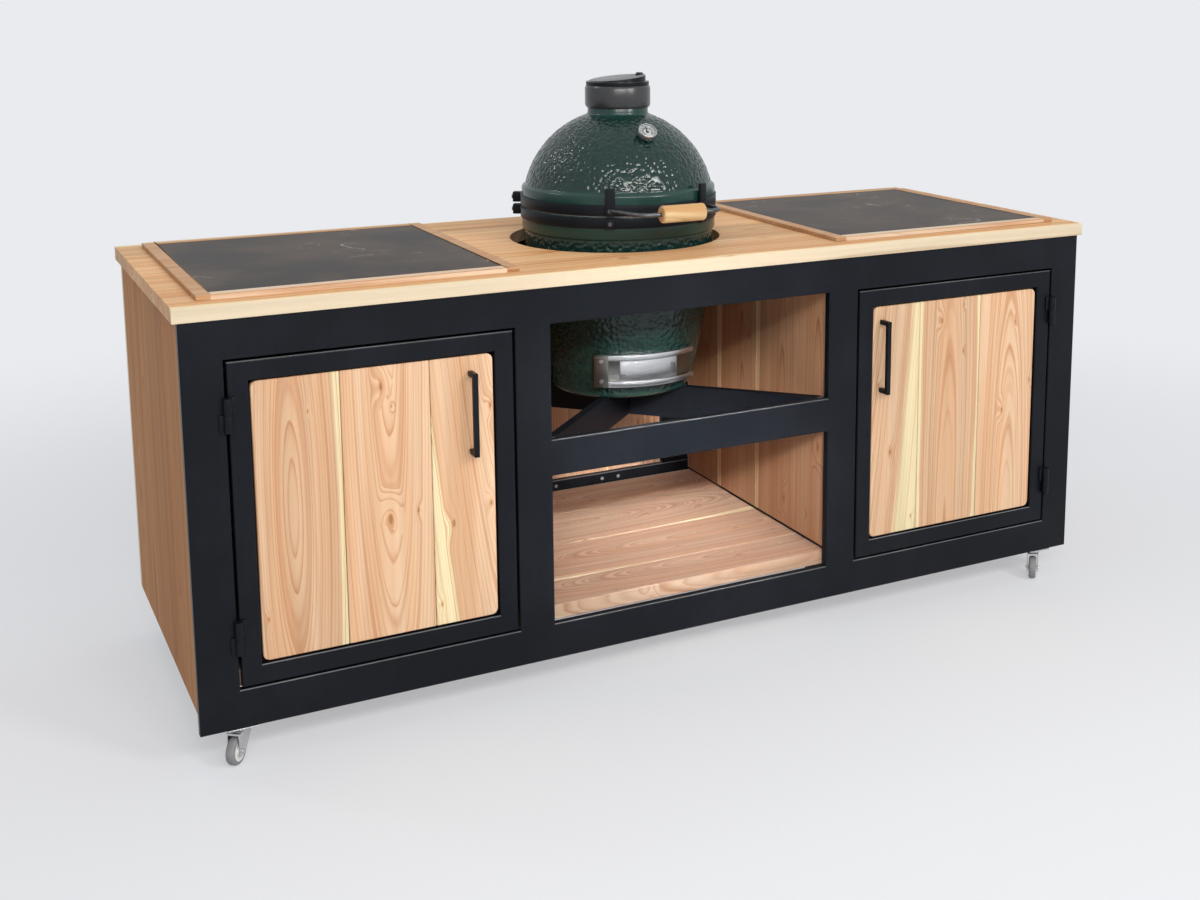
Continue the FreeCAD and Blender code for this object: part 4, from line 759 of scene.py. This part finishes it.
def screw_tree():
    """At each point a coned head with a hexagon socket faces along the point's aim, turned by chance."""
    inputs = {
        "Points": "Geometry",
        "Head Radius": "Float",
        "Head Height": "Float",
        "Socket Radius": "Float",
        "Metal": "Material",
    }
    tree, given = new_group("Screw Heads", "GeometryNodeTree", inputs, {"Heads": "Geometry"})

    def cone(vertices, bottom, top):
        inputs = {"Vertices": vertices, "Radius Bottom": bottom, "Radius Top": top}
        inputs["Depth"] = given["Head Height"]
        return add_node(tree, "GeometryNodeMeshCone", inputs).outputs["Mesh"]

    head = cone(20, given["Head Radius"], calc(tree, "MULTIPLY", given["Head Radius"], 0.78))
    bore = cone(6, given["Socket Radius"], given["Socket Radius"])
    lift_inputs = {"Z": calc(tree, "MULTIPLY", given["Head Height"], 0.4)}
    lift = add_node(tree, "ShaderNodeCombineXYZ", lift_inputs).outputs[0]
    raised_inputs = {"Geometry": bore, "Translation": lift}
    raised = add_node(tree, "GeometryNodeTransform", raised_inputs).outputs["Geometry"]
    socketed = add_node(
        tree, "GeometryNodeMeshBoolean", {"Mesh 1": head, "Mesh 2": raised}, operation="DIFFERENCE"
    ).outputs["Mesh"]
    aim = add_node(
        tree, "GeometryNodeInputNamedAttribute", {"Name": "aim"}, data_type="FLOAT_VECTOR"
    ).outputs[0]
    facing = add_node(tree, "FunctionNodeAlignRotationToVector", {"Vector": aim}, axis="Z").outputs[0]
    spin_inputs = {"Seed": 7, 3: 2.0 * math.pi}
    spin = add_node(tree, "FunctionNodeRandomValue", spin_inputs, data_type="FLOAT").outputs[1]
    twist_inputs = {"Axis": (0.0, 0.0, 1.0), "Angle": spin}
    twist = add_node(tree, "FunctionNodeAxisAngleToRotation", twist_inputs).outputs[0]
    turned_inputs = {"Rotation": facing, "Rotate By": twist}
    turned = add_node(tree, "FunctionNodeRotateRotation", turned_inputs, rotation_space="LOCAL").outputs[0]
    placed_inputs = {"Points": given["Points"], "Instance": socketed, "Rotation": turned}
    placed = add_node(tree, "GeometryNodeInstanceOnPoints", placed_inputs).outputs[0]
    real = add_node(tree, "GeometryNodeRealizeInstances", {"Geometry": placed}).outputs[0]
    coloured_inputs = {"Geometry": real, "Material": given["Metal"]}
    coloured = add_node(tree, "GeometryNodeSetMaterial", coloured_inputs).outputs[0]
    add_node(tree, "NodeGroupOutput", {"Heads": coloured})
    return tree


screw_heads = screw_tree()


def screw_piece(name, spots, radius, height, metal, body, nodes=()):
    """One mesh of screw heads; each spot is a place on the surface and the way the head faces."""
    data = bpy.data.meshes.new(name)
    data.from_pydata([tuple(place) for place, _ in spots], [], [])
    aim = data.attributes.new("aim", "FLOAT_VECTOR", "POINT")
    for index, (_, facing) in enumerate(spots):
        aim.data[index].vector = facing
    piece = bpy.data.objects.new(name, data)
    scene.collection.objects.link(piece)
    heads = piece.modifiers.new("heads", "NODES")
    heads.node_group = screw_heads
    sizes = {"Head Radius": radius, "Head Height": height, "Socket Radius": radius * 0.45, "Metal": metal}
    for item in screw_heads.interface.items_tree:
        if item.in_out == "INPUT" and item.name in sizes:
            heads[item.identifier] = sizes[item.name]
    bpy.context.view_layer.update()
    solid = bpy.data.meshes.new_from_object(piece.evaluated_get(bpy.context.evaluated_depsgraph_get()))
    piece.modifiers.remove(heads)
    piece.data = solid
    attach(piece, body)
    if nodes:
        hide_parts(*nodes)


SUNK = 0.0003
STRAP_INSET = 0.020
STRAP_SHARES = (0.08, 0.26, 0.42, 0.60, 0.74, 0.92)
for door in ("left_door", "right_door"):
    low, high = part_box(f"{door}_straps")
    boards_low, boards_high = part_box(f"{door}_boards")
    spots = []
    for share in STRAP_SHARES:
        for height in (low.z + STRAP_INSET, high.z - STRAP_INSET):
            along = boards_low.x + share * (boards_high.x - boards_low.x)
            spots.append((Vector((along, high.y - SUNK, height)), Vector((0.0, 1.0, 0.0))))
    screw_piece(door.replace("door", "strap_screws"), spots, 0.0048, 0.0024, zinc, door)
mesh = merged_copy("back_screws")
mesh.verts.index_update()
spots = []
for head in separate_boards(mesh):
    ordered = sorted(head, key=lambda vertex: vertex.index)
    middle = sum((vertex.co for vertex in ordered), Vector()) / len(ordered)
    spots.append((Vector((middle.x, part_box("back_screws")[1].y, middle.z)), Vector((0.0, -1.0, 0.0))))
mesh.free()
spots.sort(key=lambda spot: spot[0].x)
screw_piece("rear_frame_screws", spots, 0.0045, 0.0025, zinc, "cabinet", ["back_screws"])


# Casters
# Zinc-plated swivel casters under the frame's corners: a plate with its raceway and a pressed fork.
# Each wheel is a grey rubber tyre on a plastic hub, which turns on an axle through the fork.
tyre_rubber = mottled(
    "tyre_rubber",
    (0.17, 0.17, 0.175, 1.0),
    (0.27, 0.27, 0.275, 1.0),
    drift=(70.0, 4.0),
    roughness=(0.25, 0.5),
    relief=(0.0003, 0.3),
)
hub_plastic = mottled(
    "hub_plastic", (0.68, 0.68, 0.68, 1.0), (0.80, 0.80, 0.79, 1.0), drift=(110.0, 3.0), roughness=(0.2, 0.35)
)


def turned_mesh(profile, steps, material_breaks=()):
    """A closed section turned about Z; each break is the profile edge where the next material starts."""
    mesh = bmesh.new()
    rings = []
    for radius, height in profile:
        ring = []
        for step in range(steps):
            angle = 2.0 * math.pi * step / steps
            ring.append(mesh.verts.new((radius * math.cos(angle), radius * math.sin(angle), height)))
        rings.append(ring)
    for index, ring in enumerate(rings):
        following = rings[(index + 1) % len(rings)]
        for step in range(steps):
            onward = (step + 1) % steps
            face = mesh.faces.new((ring[step], ring[onward], following[onward], following[step]))
            face.material_index = sum(1 for start in material_breaks if index >= start)
    bmesh.ops.remove_doubles(mesh, verts=mesh.verts, dist=1e-6)
    bmesh.ops.recalc_face_normals(mesh, faces=mesh.faces)
    return mesh


def stood(mesh, matrix):
    bmesh.ops.transform(mesh, matrix=matrix, verts=mesh.verts)


WHEEL_RADIUS = 0.029
HALF_WIDTH = 0.010
TYRE_START = 6
TYRE_END = 15
half_wheel = [
    (0.00405, -HALF_WIDTH),
    (0.0095, -HALF_WIDTH),
    (0.0100, -HALF_WIDTH + 0.0004),
    (0.0100, -HALF_WIDTH + 0.0030),
    (0.0165, -HALF_WIDTH + 0.0034),
    (0.0172, -HALF_WIDTH + 0.0012),
    (0.0205, -HALF_WIDTH + 0.0010),
    (0.0245, -HALF_WIDTH + 0.0010),
    (0.0272, -HALF_WIDTH + 0.0022),
    (0.0286, -HALF_WIDTH + 0.0048),
    (WHEEL_RADIUS, -HALF_WIDTH + 0.0075),
]
wheel_profile = half_wheel + [(radius, -height) for radius, height in reversed(half_wheel)]
wheel_materials = [hub_plastic, tyre_rubber]
for corner in ("front_left", "front_right", "rear_left", "rear_right"):
    fork = f"caster_fork_{corner}"
    eased_piece(f"{fork}_zinc", fork, zinc, f"swivel_{corner}", "zinc", 0.0007, CREASE)
    wheel = f"caster_wheel_{corner}"
    low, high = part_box(wheel)
    joint = next(each for each in frame["joints"] if each["name"] == f"roll_{corner}")
    axle = Vector(joint["axis"])
    mesh = turned_mesh(wheel_profile, 48, (TYRE_START, TYRE_END))
    for face in mesh.faces:
        face.material_index %= len(wheel_materials)
    stood(mesh, Matrix.Translation((low + high) / 2) @ axle.to_track_quat("Z", "Y").to_matrix().to_4x4())
    make_piece(
        f"{wheel}_tyre", mesh, wheel_materials, f"wheel_{corner}", "grey_tyre", [wheel], smooth_angle=40
    )
eased_piece("caster_mounts", "caster_plates", zinc, "cabinet", "zinc", 0.0006, CREASE)


# Cooker base and lid
# Thick ceramic with a dark green glaze: dimpled on the flanks and the dome, smooth on the collars and neck.
# The base has a hole for the draft at its foot; the lid has a neck for the vent cap.
low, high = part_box("cooker_base")
AXIS = Vector(((low.x + high.x) / 2, (low.y + high.y) / 2, 0.0))
FOOT = Vector((AXIS.x, AXIS.y, low.z))
SEAM = Vector((AXIS.x, AXIS.y, high.z))
GLAZE_DARK = (0.0036, 0.0150, 0.0125, 1.0)
GLAZE_PALE = (0.0058, 0.0225, 0.0188, 1.0)
GLAZE_POOLED = (0.010, 0.040, 0.034, 1.0)
GLAZE_SMOOTH = (0.0090, 0.0400, 0.0330, 1.0)
PIT_SIZE = 0.0098
PIT_DEPTH = 0.0012
PIT_REACH = 0.62
PIT_FADE = 0.006
SHELL_STEPS = 512


def green_glaze():
    """Glossy glaze, paler where it pools between the dimples and duller where the clay is smooth."""
    material, tree, shader = new_material("green_glaze")
    place = object_place(tree)
    pits = add_node(tree, "ShaderNodeAttribute", attribute_name="pits").outputs["Vector"]
    pits = add_node(tree, "ShaderNodeSeparateXYZ", {0: pits}).outputs
    drift = noise(tree, place, 9.0, 3.0)
    glaze = blend_colours(tree, drift, GLAZE_DARK, GLAZE_PALE)
    glaze = blend_colours(tree, calc(tree, "MULTIPLY", pits["X"], 0.5), glaze, GLAZE_POOLED)
    gloss = calc(tree, "MULTIPLY_ADD", pits["Y"], -0.13, 0.22)
    relief = calc(tree, "MULTIPLY_ADD", noise(tree, place, 240.0, 3.0), 0.12, pits["X"])
    inputs = {
        "Base Color": blend_colours(tree, pits["Y"], GLAZE_SMOOTH, glaze),
        "Roughness": calc(tree, "MULTIPLY_ADD", drift, 0.06, gloss),
        "Normal": bump(tree, relief, 0.0009, 0.8),
        "Specular IOR Level": 0.40,
    }
    feed(tree, shader, inputs)
    return material


def press_dimples(mesh, low, high):
    """Presses close-set round pits into the outer face between two heights, and fades them out at both."""
    pits = mesh.verts.layers.float_vector.new("pits")
    mesh.normal_update()
    inset = {}
    for vertex in mesh.verts:
        outward = Vector((vertex.co.x, vertex.co.y, 0.0)).normalized() + Vector((0.0, 0.0, 0.3))
        edge = min(vertex.co.z - low, high - vertex.co.z) / PIT_FADE
        if edge <= 0.0 or vertex.normal.dot(outward) < 0.0:
            continue
        distance = solid_noise.voronoi(vertex.co / PIT_SIZE)[0][0]
        rim = min(distance / PIT_REACH, 1.0) ** 2
        share = min(edge, 1.0)
        inset[vertex] = vertex.normal * (PIT_DEPTH * share * (1.0 - rim))
        vertex[pits] = (rim * share, share, 0.0)
    for vertex, step in inset.items():
        vertex.co -= step


def arc_points(centre, radius, start, end, steps):
    """Points on an arc in the half section, from one angle to another, in degrees."""
    points = []
    for step in range(steps + 1):
        angle = math.radians(start + (end - start) * step / steps)
        points.append((centre[0] + radius * math.cos(angle), centre[1] + radius * math.sin(angle)))
    return points


glaze = green_glaze()
flank = 1.300
shoulder = (0.226, 0.386)
foot_angle = -math.degrees(math.asin((shoulder[1] - 0.008) / flank))
base_profile = (
    [(0.0, 0.0), (0.159, 0.0), (0.1635, 0.0012), (0.1662, 0.0042)]
    + arc_points((shoulder[0] - flank, shoulder[1]), flank, foot_angle, 0.0, 140)
    + [(0.2285, 0.3862), (0.2310, 0.3874), (0.2320, 0.3900)]
    + [(0.2320, 0.4370), (0.2310, 0.4394), (0.2290, 0.4400)]
    + [(0.2080, 0.4400), (0.2060, 0.4380), (0.2060, 0.3000), (0.1400, 0.0250), (0.0, 0.0250)]
)
base_mesh = turned_mesh(base_profile, SHELL_STEPS)
press_dimples(base_mesh, low=0.010, high=0.384)
stood(base_mesh, Matrix.Translation(FOOT))
base_piece = make_piece(
    "cooker_base_shell", base_mesh, glaze, "cabinet", "green_glaze", ["cooker_base"], smooth_angle=50
)
hole_block = bmesh.new()
bmesh.ops.create_cube(hole_block, size=1.0)
hole_size = Matrix.Diagonal((0.096, 0.114, 0.046, 1.0))
hole_place = Matrix.Translation(FOOT + Vector((0.0, -0.175, 0.074)))
stood(hole_block, hole_place @ hole_size)
hole_mesh = bpy.data.meshes.new("draft_hole")
hole_block.to_mesh(hole_mesh)
hole_block.free()
hole_cutter = bpy.data.objects.new("draft_hole", hole_mesh)
scene.collection.objects.link(hole_cutter)
cutting = base_piece.modifiers.new("draft_hole", "BOOLEAN")
cutting.object = hole_cutter
cutting.solver = "EXACT"
bpy.context.view_layer.update()
cut_mesh = bpy.data.meshes.new_from_object(base_piece.evaluated_get(bpy.context.evaluated_depsgraph_get()))
base_piece.modifiers.remove(cutting)
base_piece.data = cut_mesh
bpy.data.objects.remove(hole_cutter)

dome = 0.230
inner = 0.206
neck = 0.072
bore = 0.050
lid_profile = (
    [(0.2060, 0.0033), (0.2295, 0.0033), (0.2312, 0.0038), (0.2320, 0.0056)]
    + arc_points((0.2240, 0.0440), 0.0080, 0.0, 62.0, 6)
    + arc_points((0.0, 0.0), dome, 13.6, math.degrees(math.acos(0.0765 / dome)), 84)
    + [(0.0742, 0.2184), (0.0728, 0.2205), (0.0720, 0.2235)]
    + [(neck, 0.2460), (0.0710, 0.2470), (bore, 0.2470)]
    + arc_points((0.0, 0.0), inner, math.degrees(math.acos(bore / inner)), 2.0, 20)
)
lid_mesh = turned_mesh(lid_profile, SHELL_STEPS)
press_dimples(lid_mesh, low=0.053, high=0.216)
stood(lid_mesh, Matrix.Translation(SEAM))
make_piece("cooker_lid_shell", lid_mesh, glaze, "lid", "green_glaze", ["cooker_lid"], smooth_angle=50)


# Cooker fittings
# Black steel bands, each drawn together by bolts, clamp both rims.
# The lid's band carries the hinge arm behind and the bent handle rod with its turned wooden grip.
def outwards(degrees):
    """The way out from the cooker's axis, turned from the front."""
    turn = math.radians(degrees)
    return Vector((math.sin(turn), -math.cos(turn), 0.0))


LONG_EDGE = 0.012
BAND_RADIUS = 0.2353
CLAMP_FACES = ((29.5, BAND_RADIUS + 0.009), (120.0, BAND_RADIUS + 0.020))
band_bodies = {"base_band": "cabinet", "hinge_bracket": "cabinet", "lid_band": "lid", "lid_hinge_arm": "lid"}
for node, body in band_bodies.items():
    mesh = merged_copy(node)
    ease_edges(mesh, 0.0020, 3, lambda edge: edge.calc_length() > LONG_EDGE)
    ease_edges(mesh, 0.0006)
    make_piece(f"{node}_steel", mesh, black_steel, body, "black_steel", [node], CREASE)
rod_steel = mottled(
    "rod_steel",
    (0.06, 0.062, 0.066, 1.0),
    (0.15, 0.152, 0.158, 1.0),
    drift=(60.0, 3.0),
    roughness=(0.2, 0.24),
    metallic=0.8,
)
for body, node, height in (("lid", "lid_band", 0.0163), ("cabinet", "base_band", -0.0130)):
    spots = []
    for angle, radius in CLAMP_FACES:
        for turn in (-angle, angle):
            outward = outwards(turn)
            spots.append((SEAM + outward * (radius - SUNK) + Vector((0.0, 0.0, height)), outward))
    screw_piece(f"{node}_bolts", spots, 0.0058, 0.0036, rod_steel, body)
mesh = merged_copy("handle_rod")
make_piece("handle_bent_rod", mesh, rod_steel, "lid", "black_steel", ["handle_rod"], smooth_angle=50)

grip_wood = board_wood(
    "grip_wood", (0.58, 0.36, 0.165, 1.0), (0.66, 0.46, 0.24, 1.0), (0.78, 0.64, 0.50, 1.0),
    ring_spacing=0.0030, knots=0.0,
)
low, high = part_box("handle_grip")
length = high.x - low.x
grip_profile = (
    [(0.0051, 0.0), (0.0150, 0.0)]
    + arc_points((0.0155, 0.0040), 0.0040, -90.0, 0.0, 6)
    + arc_points((0.0155, length - 0.0040), 0.0040, 0.0, 90.0, 6)
    + [(0.0150, length), (0.0051, length)]
)
mesh = turned_mesh(grip_profile, 48)
grip_end = Matrix.Translation((low.x, (low.y + high.y) / 2, (low.z + high.z) / 2))
stood(mesh, grip_end @ Matrix.Rotation(math.pi / 2, 4, "Y"))
mark_grain(mesh, ACROSS, 61)
make_piece("handle_wood_grip", mesh, grip_wood, "lid", "grip_wood", ["handle_grip"], smooth_angle=40)


# Draft door
# Brushed stainless sheet: a curved frame round the foot of the base with a plate that slides in it.
# The frame is held by screws through its end plate; its back plate and end plate are painted darker than the
# door, as painted shade and a painted dark reflection.
def brushed_sheet(name, dark, pale):
    material, tree, shader = new_material(name)
    place = object_place(tree)
    lines = noise(tree, stretched(tree, place, 6.0, 6.0, 1400.0), 1.0, 3.0, 0.6)
    smears = noise(tree, place, 26.0, 3.0)
    rub = calc(tree, "MULTIPLY_ADD", lines, 0.18, 0.16)
    inputs = {
        "Base Color": blend_colours(tree, lines, dark, pale),
        "Roughness": calc(tree, "MULTIPLY_ADD", smears, 0.10, rub),
        "Normal": bump(tree, lines, 0.0001, 0.3),
        "Metallic": 1.0,
    }
    feed(tree, shader, inputs)
    return material


stainless = brushed_sheet("brushed_stainless", (0.42, 0.43, 0.45, 1.0), (0.60, 0.61, 0.63, 1.0))
# A darker stainless for the back plate and the end plate: painted shade and a painted dark reflection.
shaded_stainless = brushed_sheet("shaded_stainless", (0.17, 0.168, 0.160, 1.0), (0.27, 0.266, 0.255, 1.0))
sheets = [stainless, shaded_stainless, rod_steel]
BACK_RADIUS = 0.1945
PLATE_RADIUS = 0.2034
END_PLATE_EDGE = -32.6
END_PLATE_MIDDLE = -37.2
END_PLATE_RADIUS = 0.2050
END_SCREW_INSET = 0.014
for node, body in (("draft_frame", "cabinet"), ("draft_door", "draft_door")):
    mesh = merged_copy(node)
    ease_edges(mesh, 0.0004)
    mesh.normal_update()
    for face in mesh.faces:
        reach = [math.hypot(vertex.co.x - AXIS.x, vertex.co.y - AXIS.y) for vertex in face.verts]
        middle = face.calc_center_median() - AXIS
        end_plate = body == "cabinet" and math.degrees(math.atan2(middle.x, -middle.y)) < END_PLATE_EDGE
        # The back plate and the end plate take the darker sheet: painted shade and a painted dark reflection.
        if abs(face.normal.z) < 0.3 and (end_plate or max(reach) < BACK_RADIUS):
            face.material_index = sheets.index(shaded_stainless)
        elif body == "draft_door" and min(reach) > PLATE_RADIUS:
            face.material_index = sheets.index(rod_steel)
    make_piece(f"{node}_sheet", mesh, sheets, body, "stainless", [node], CREASE)
low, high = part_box("draft_frame")
outward = outwards(END_PLATE_MIDDLE)
spots = []
for height in (low.z + END_SCREW_INSET, high.z - END_SCREW_INSET):
    spots.append((AXIS + outward * (END_PLATE_RADIUS - SUNK) + Vector((0.0, 0.0, height)), outward))
screw_piece("draft_frame_screws", spots, 0.0055, 0.0022, zinc, "cabinet")


# Thermometer
# A stainless case on a stem through the dome, with a pale enamel dial and a turning black needle.
# The dial has a ring of ticks, a ring of short marks and a dark hub, all printed.
eased_piece("thermometer_bezel", "thermometer_case", stainless, "lid", "stainless", 0.0005, CREASE)
dial_white = mottled(
    "dial_enamel", (0.40, 0.41, 0.41, 1.0), (0.50, 0.51, 0.51, 1.0), drift=(1400.0, 2.0), roughness=0.45
)
dial_ink = mottled(
    "dial_ink", (0.014, 0.014, 0.015, 1.0), (0.030, 0.030, 0.031, 1.0), drift=(1400.0, 2.0), roughness=0.5
)
DIAL_REACH = 0.2471
DIAL_RADIUS = 0.0195
HUB_RADIUS = 0.0044
dial_lean = math.radians(49.3)
dial_out = Vector((0.0, -math.cos(dial_lean), math.sin(dial_lean)))
dial_up = Vector((0.0, math.sin(dial_lean), math.cos(dial_lean)))
dial_right = Vector((1.0, 0.0, 0.0))
dial_centre = SEAM + dial_out * DIAL_REACH
to_dial = Matrix.Translation(dial_centre) @ Matrix((dial_right, dial_up, dial_out)).transposed().to_4x4()
STEM_HOLE = 0.0013
ENAMEL_HIGH = 0.00015
INK_LOW = 0.0001
INK_HIGH = 0.00028
HUB_HIGH = 0.00030
TICKS = 28
MARKS = 40


def dial_disc(radius, low, high, steps):
    return turned_mesh([(STEM_HOLE, low), (radius, low), (radius, high), (STEM_HOLE, high)], steps)


def dial_mark(mesh, degrees, reach, wide, tall):
    """A thin raised mark at a distance from the dial's middle, lying along the way out."""
    angle = math.radians(degrees)
    turn = angle - math.pi / 2
    rings = []
    for level in (INK_LOW, INK_HIGH):
        ring = []
        for across, upward in ((-wide, -tall), (wide, -tall), (wide, tall), (-wide, tall)):
            right = reach * math.cos(angle) + (across * math.cos(turn) - upward * math.sin(turn)) / 2
            up = reach * math.sin(angle) + (across * math.sin(turn) + upward * math.cos(turn)) / 2
            ring.append(mesh.verts.new((right, up, level)))
        rings.append(ring)
    faces = [mesh.faces.new(rings[1]), mesh.faces.new(rings[0][::-1])]
    for index in range(4):
        onward = (index + 1) % 4
        faces.append(mesh.faces.new((rings[0][index], rings[0][onward], rings[1][onward], rings[1][index])))
    for face in faces:
        face.material_index = 1


mesh = dial_disc(DIAL_RADIUS, 0.0, ENAMEL_HIGH, 64)
for tick in range(TICKS):
    degrees = 225.0 - 270.0 * tick / (TICKS - 1)
    if tick % 3 == 0:
        dial_mark(mesh, degrees, 0.0158, 0.0015, 0.0050)
    else:
        dial_mark(mesh, degrees, 0.0168, 0.0009, 0.0030)
for mark in range(MARKS):
    dial_mark(mesh, 230.0 - 280.0 * mark / (MARKS - 1), 0.0112, 0.0012, 0.0026)
hub = dial_disc(HUB_RADIUS, INK_LOW, HUB_HIGH, 32)
for face in hub.faces:
    face.material_index = 1
hub_data = bpy.data.meshes.new("dial_hub")
hub.to_mesh(hub_data)
hub.free()
mesh.from_mesh(hub_data)
stood(mesh, to_dial)
make_piece("thermometer_dial", mesh, [dial_white, dial_ink], "lid", "stainless", smooth_angle=40)
needle_black = mottled(
    "needle_black", (0.020, 0.018, 0.018, 1.0), (0.040, 0.036, 0.036, 1.0), drift=(900.0, 2.0), roughness=0.4
)
needle_materials = frame["nodes"]["thermometer_needle"].data.materials
needle_materials.clear()
needle_materials.append(needle_black)


# Vent cap
# A cast iron drum on the lid's neck with a low conical lid of its own.
# That lid swings aside on an upright pin in the drum's rim; its upright edge is painted black as painted
# shade, the dark band under it.
cast_iron, tree, shader = new_material("cast_iron")
place = object_place(tree)
skin = noise(tree, place, 420.0, 4.0, 0.6)
soot = noise(tree, place, 18.0, 4.0)
iron_face = {
    "Base Color": blend_colours(tree, soot, (0.026, 0.027, 0.029, 1.0), (0.052, 0.053, 0.056, 1.0)),
    "Roughness": calc(tree, "MULTIPLY_ADD", soot, 0.15, 0.20),
    "Normal": bump(tree, skin, 0.0004, 0.5),
    "Metallic": 0.2,
}
feed(tree, shader, iron_face)
for node, body in (("vent_cap", "lid"), ("vent_lid", "vent_lid")):
    mesh = merged_copy(node)
    # The vent lid's upright edge takes the black coat: painted shade for the dark band under the lid.
    for face in mesh.faces:
        if body == "vent_lid" and abs(face.normal.z) < 0.5:
            face.material_index = 1
    ease_edges(mesh, 0.0012, 3)
    make_piece(f"{node}_casting", mesh, [cast_iron, black_steel], body, "cast_iron", [node], CREASE)


# Fire set
# An unglazed fire clay box and ring stand in the base, with a slotted cast iron grate at their foot.
# A wire cooking grid lies on top, and a felt gasket is stuck on the base's rim.
fire_clay = mottled(
    "fire_clay",
    (0.30, 0.25, 0.20, 1.0),
    (0.56, 0.48, 0.38, 1.0),
    drift=(7.0, 4.0),
    roughness=0.85,
    grain=(260.0, 4.0, 0.65),
    relief=(0.0010, 0.6),
)
felt = mottled(
    "gasket_felt",
    (0.30, 0.30, 0.29, 1.0),
    (0.48, 0.48, 0.46, 1.0),
    drift=(1500.0, 3.0, 0.7),
    roughness=0.95,
    relief=(0.0010, 0.8),
)
for node, material, slot, ease in (
    ("cooker_firebox", fire_clay, "fire_clay", 0.0030),
    ("cooker_fire_ring", fire_clay, "fire_clay", 0.0030),
    ("cooker_fire_grate", cast_iron, "cast_iron", 0.0010),
    ("cooking_grid", stainless, "stainless", 0.0012),
    ("cooker_gasket", felt, "felt", 0.0008),
):
    ending = "fired" if slot == "fire_clay" else "set"
    eased_piece(f"{node}_{ending}", node, material, "cabinet", slot, ease, CREASE)
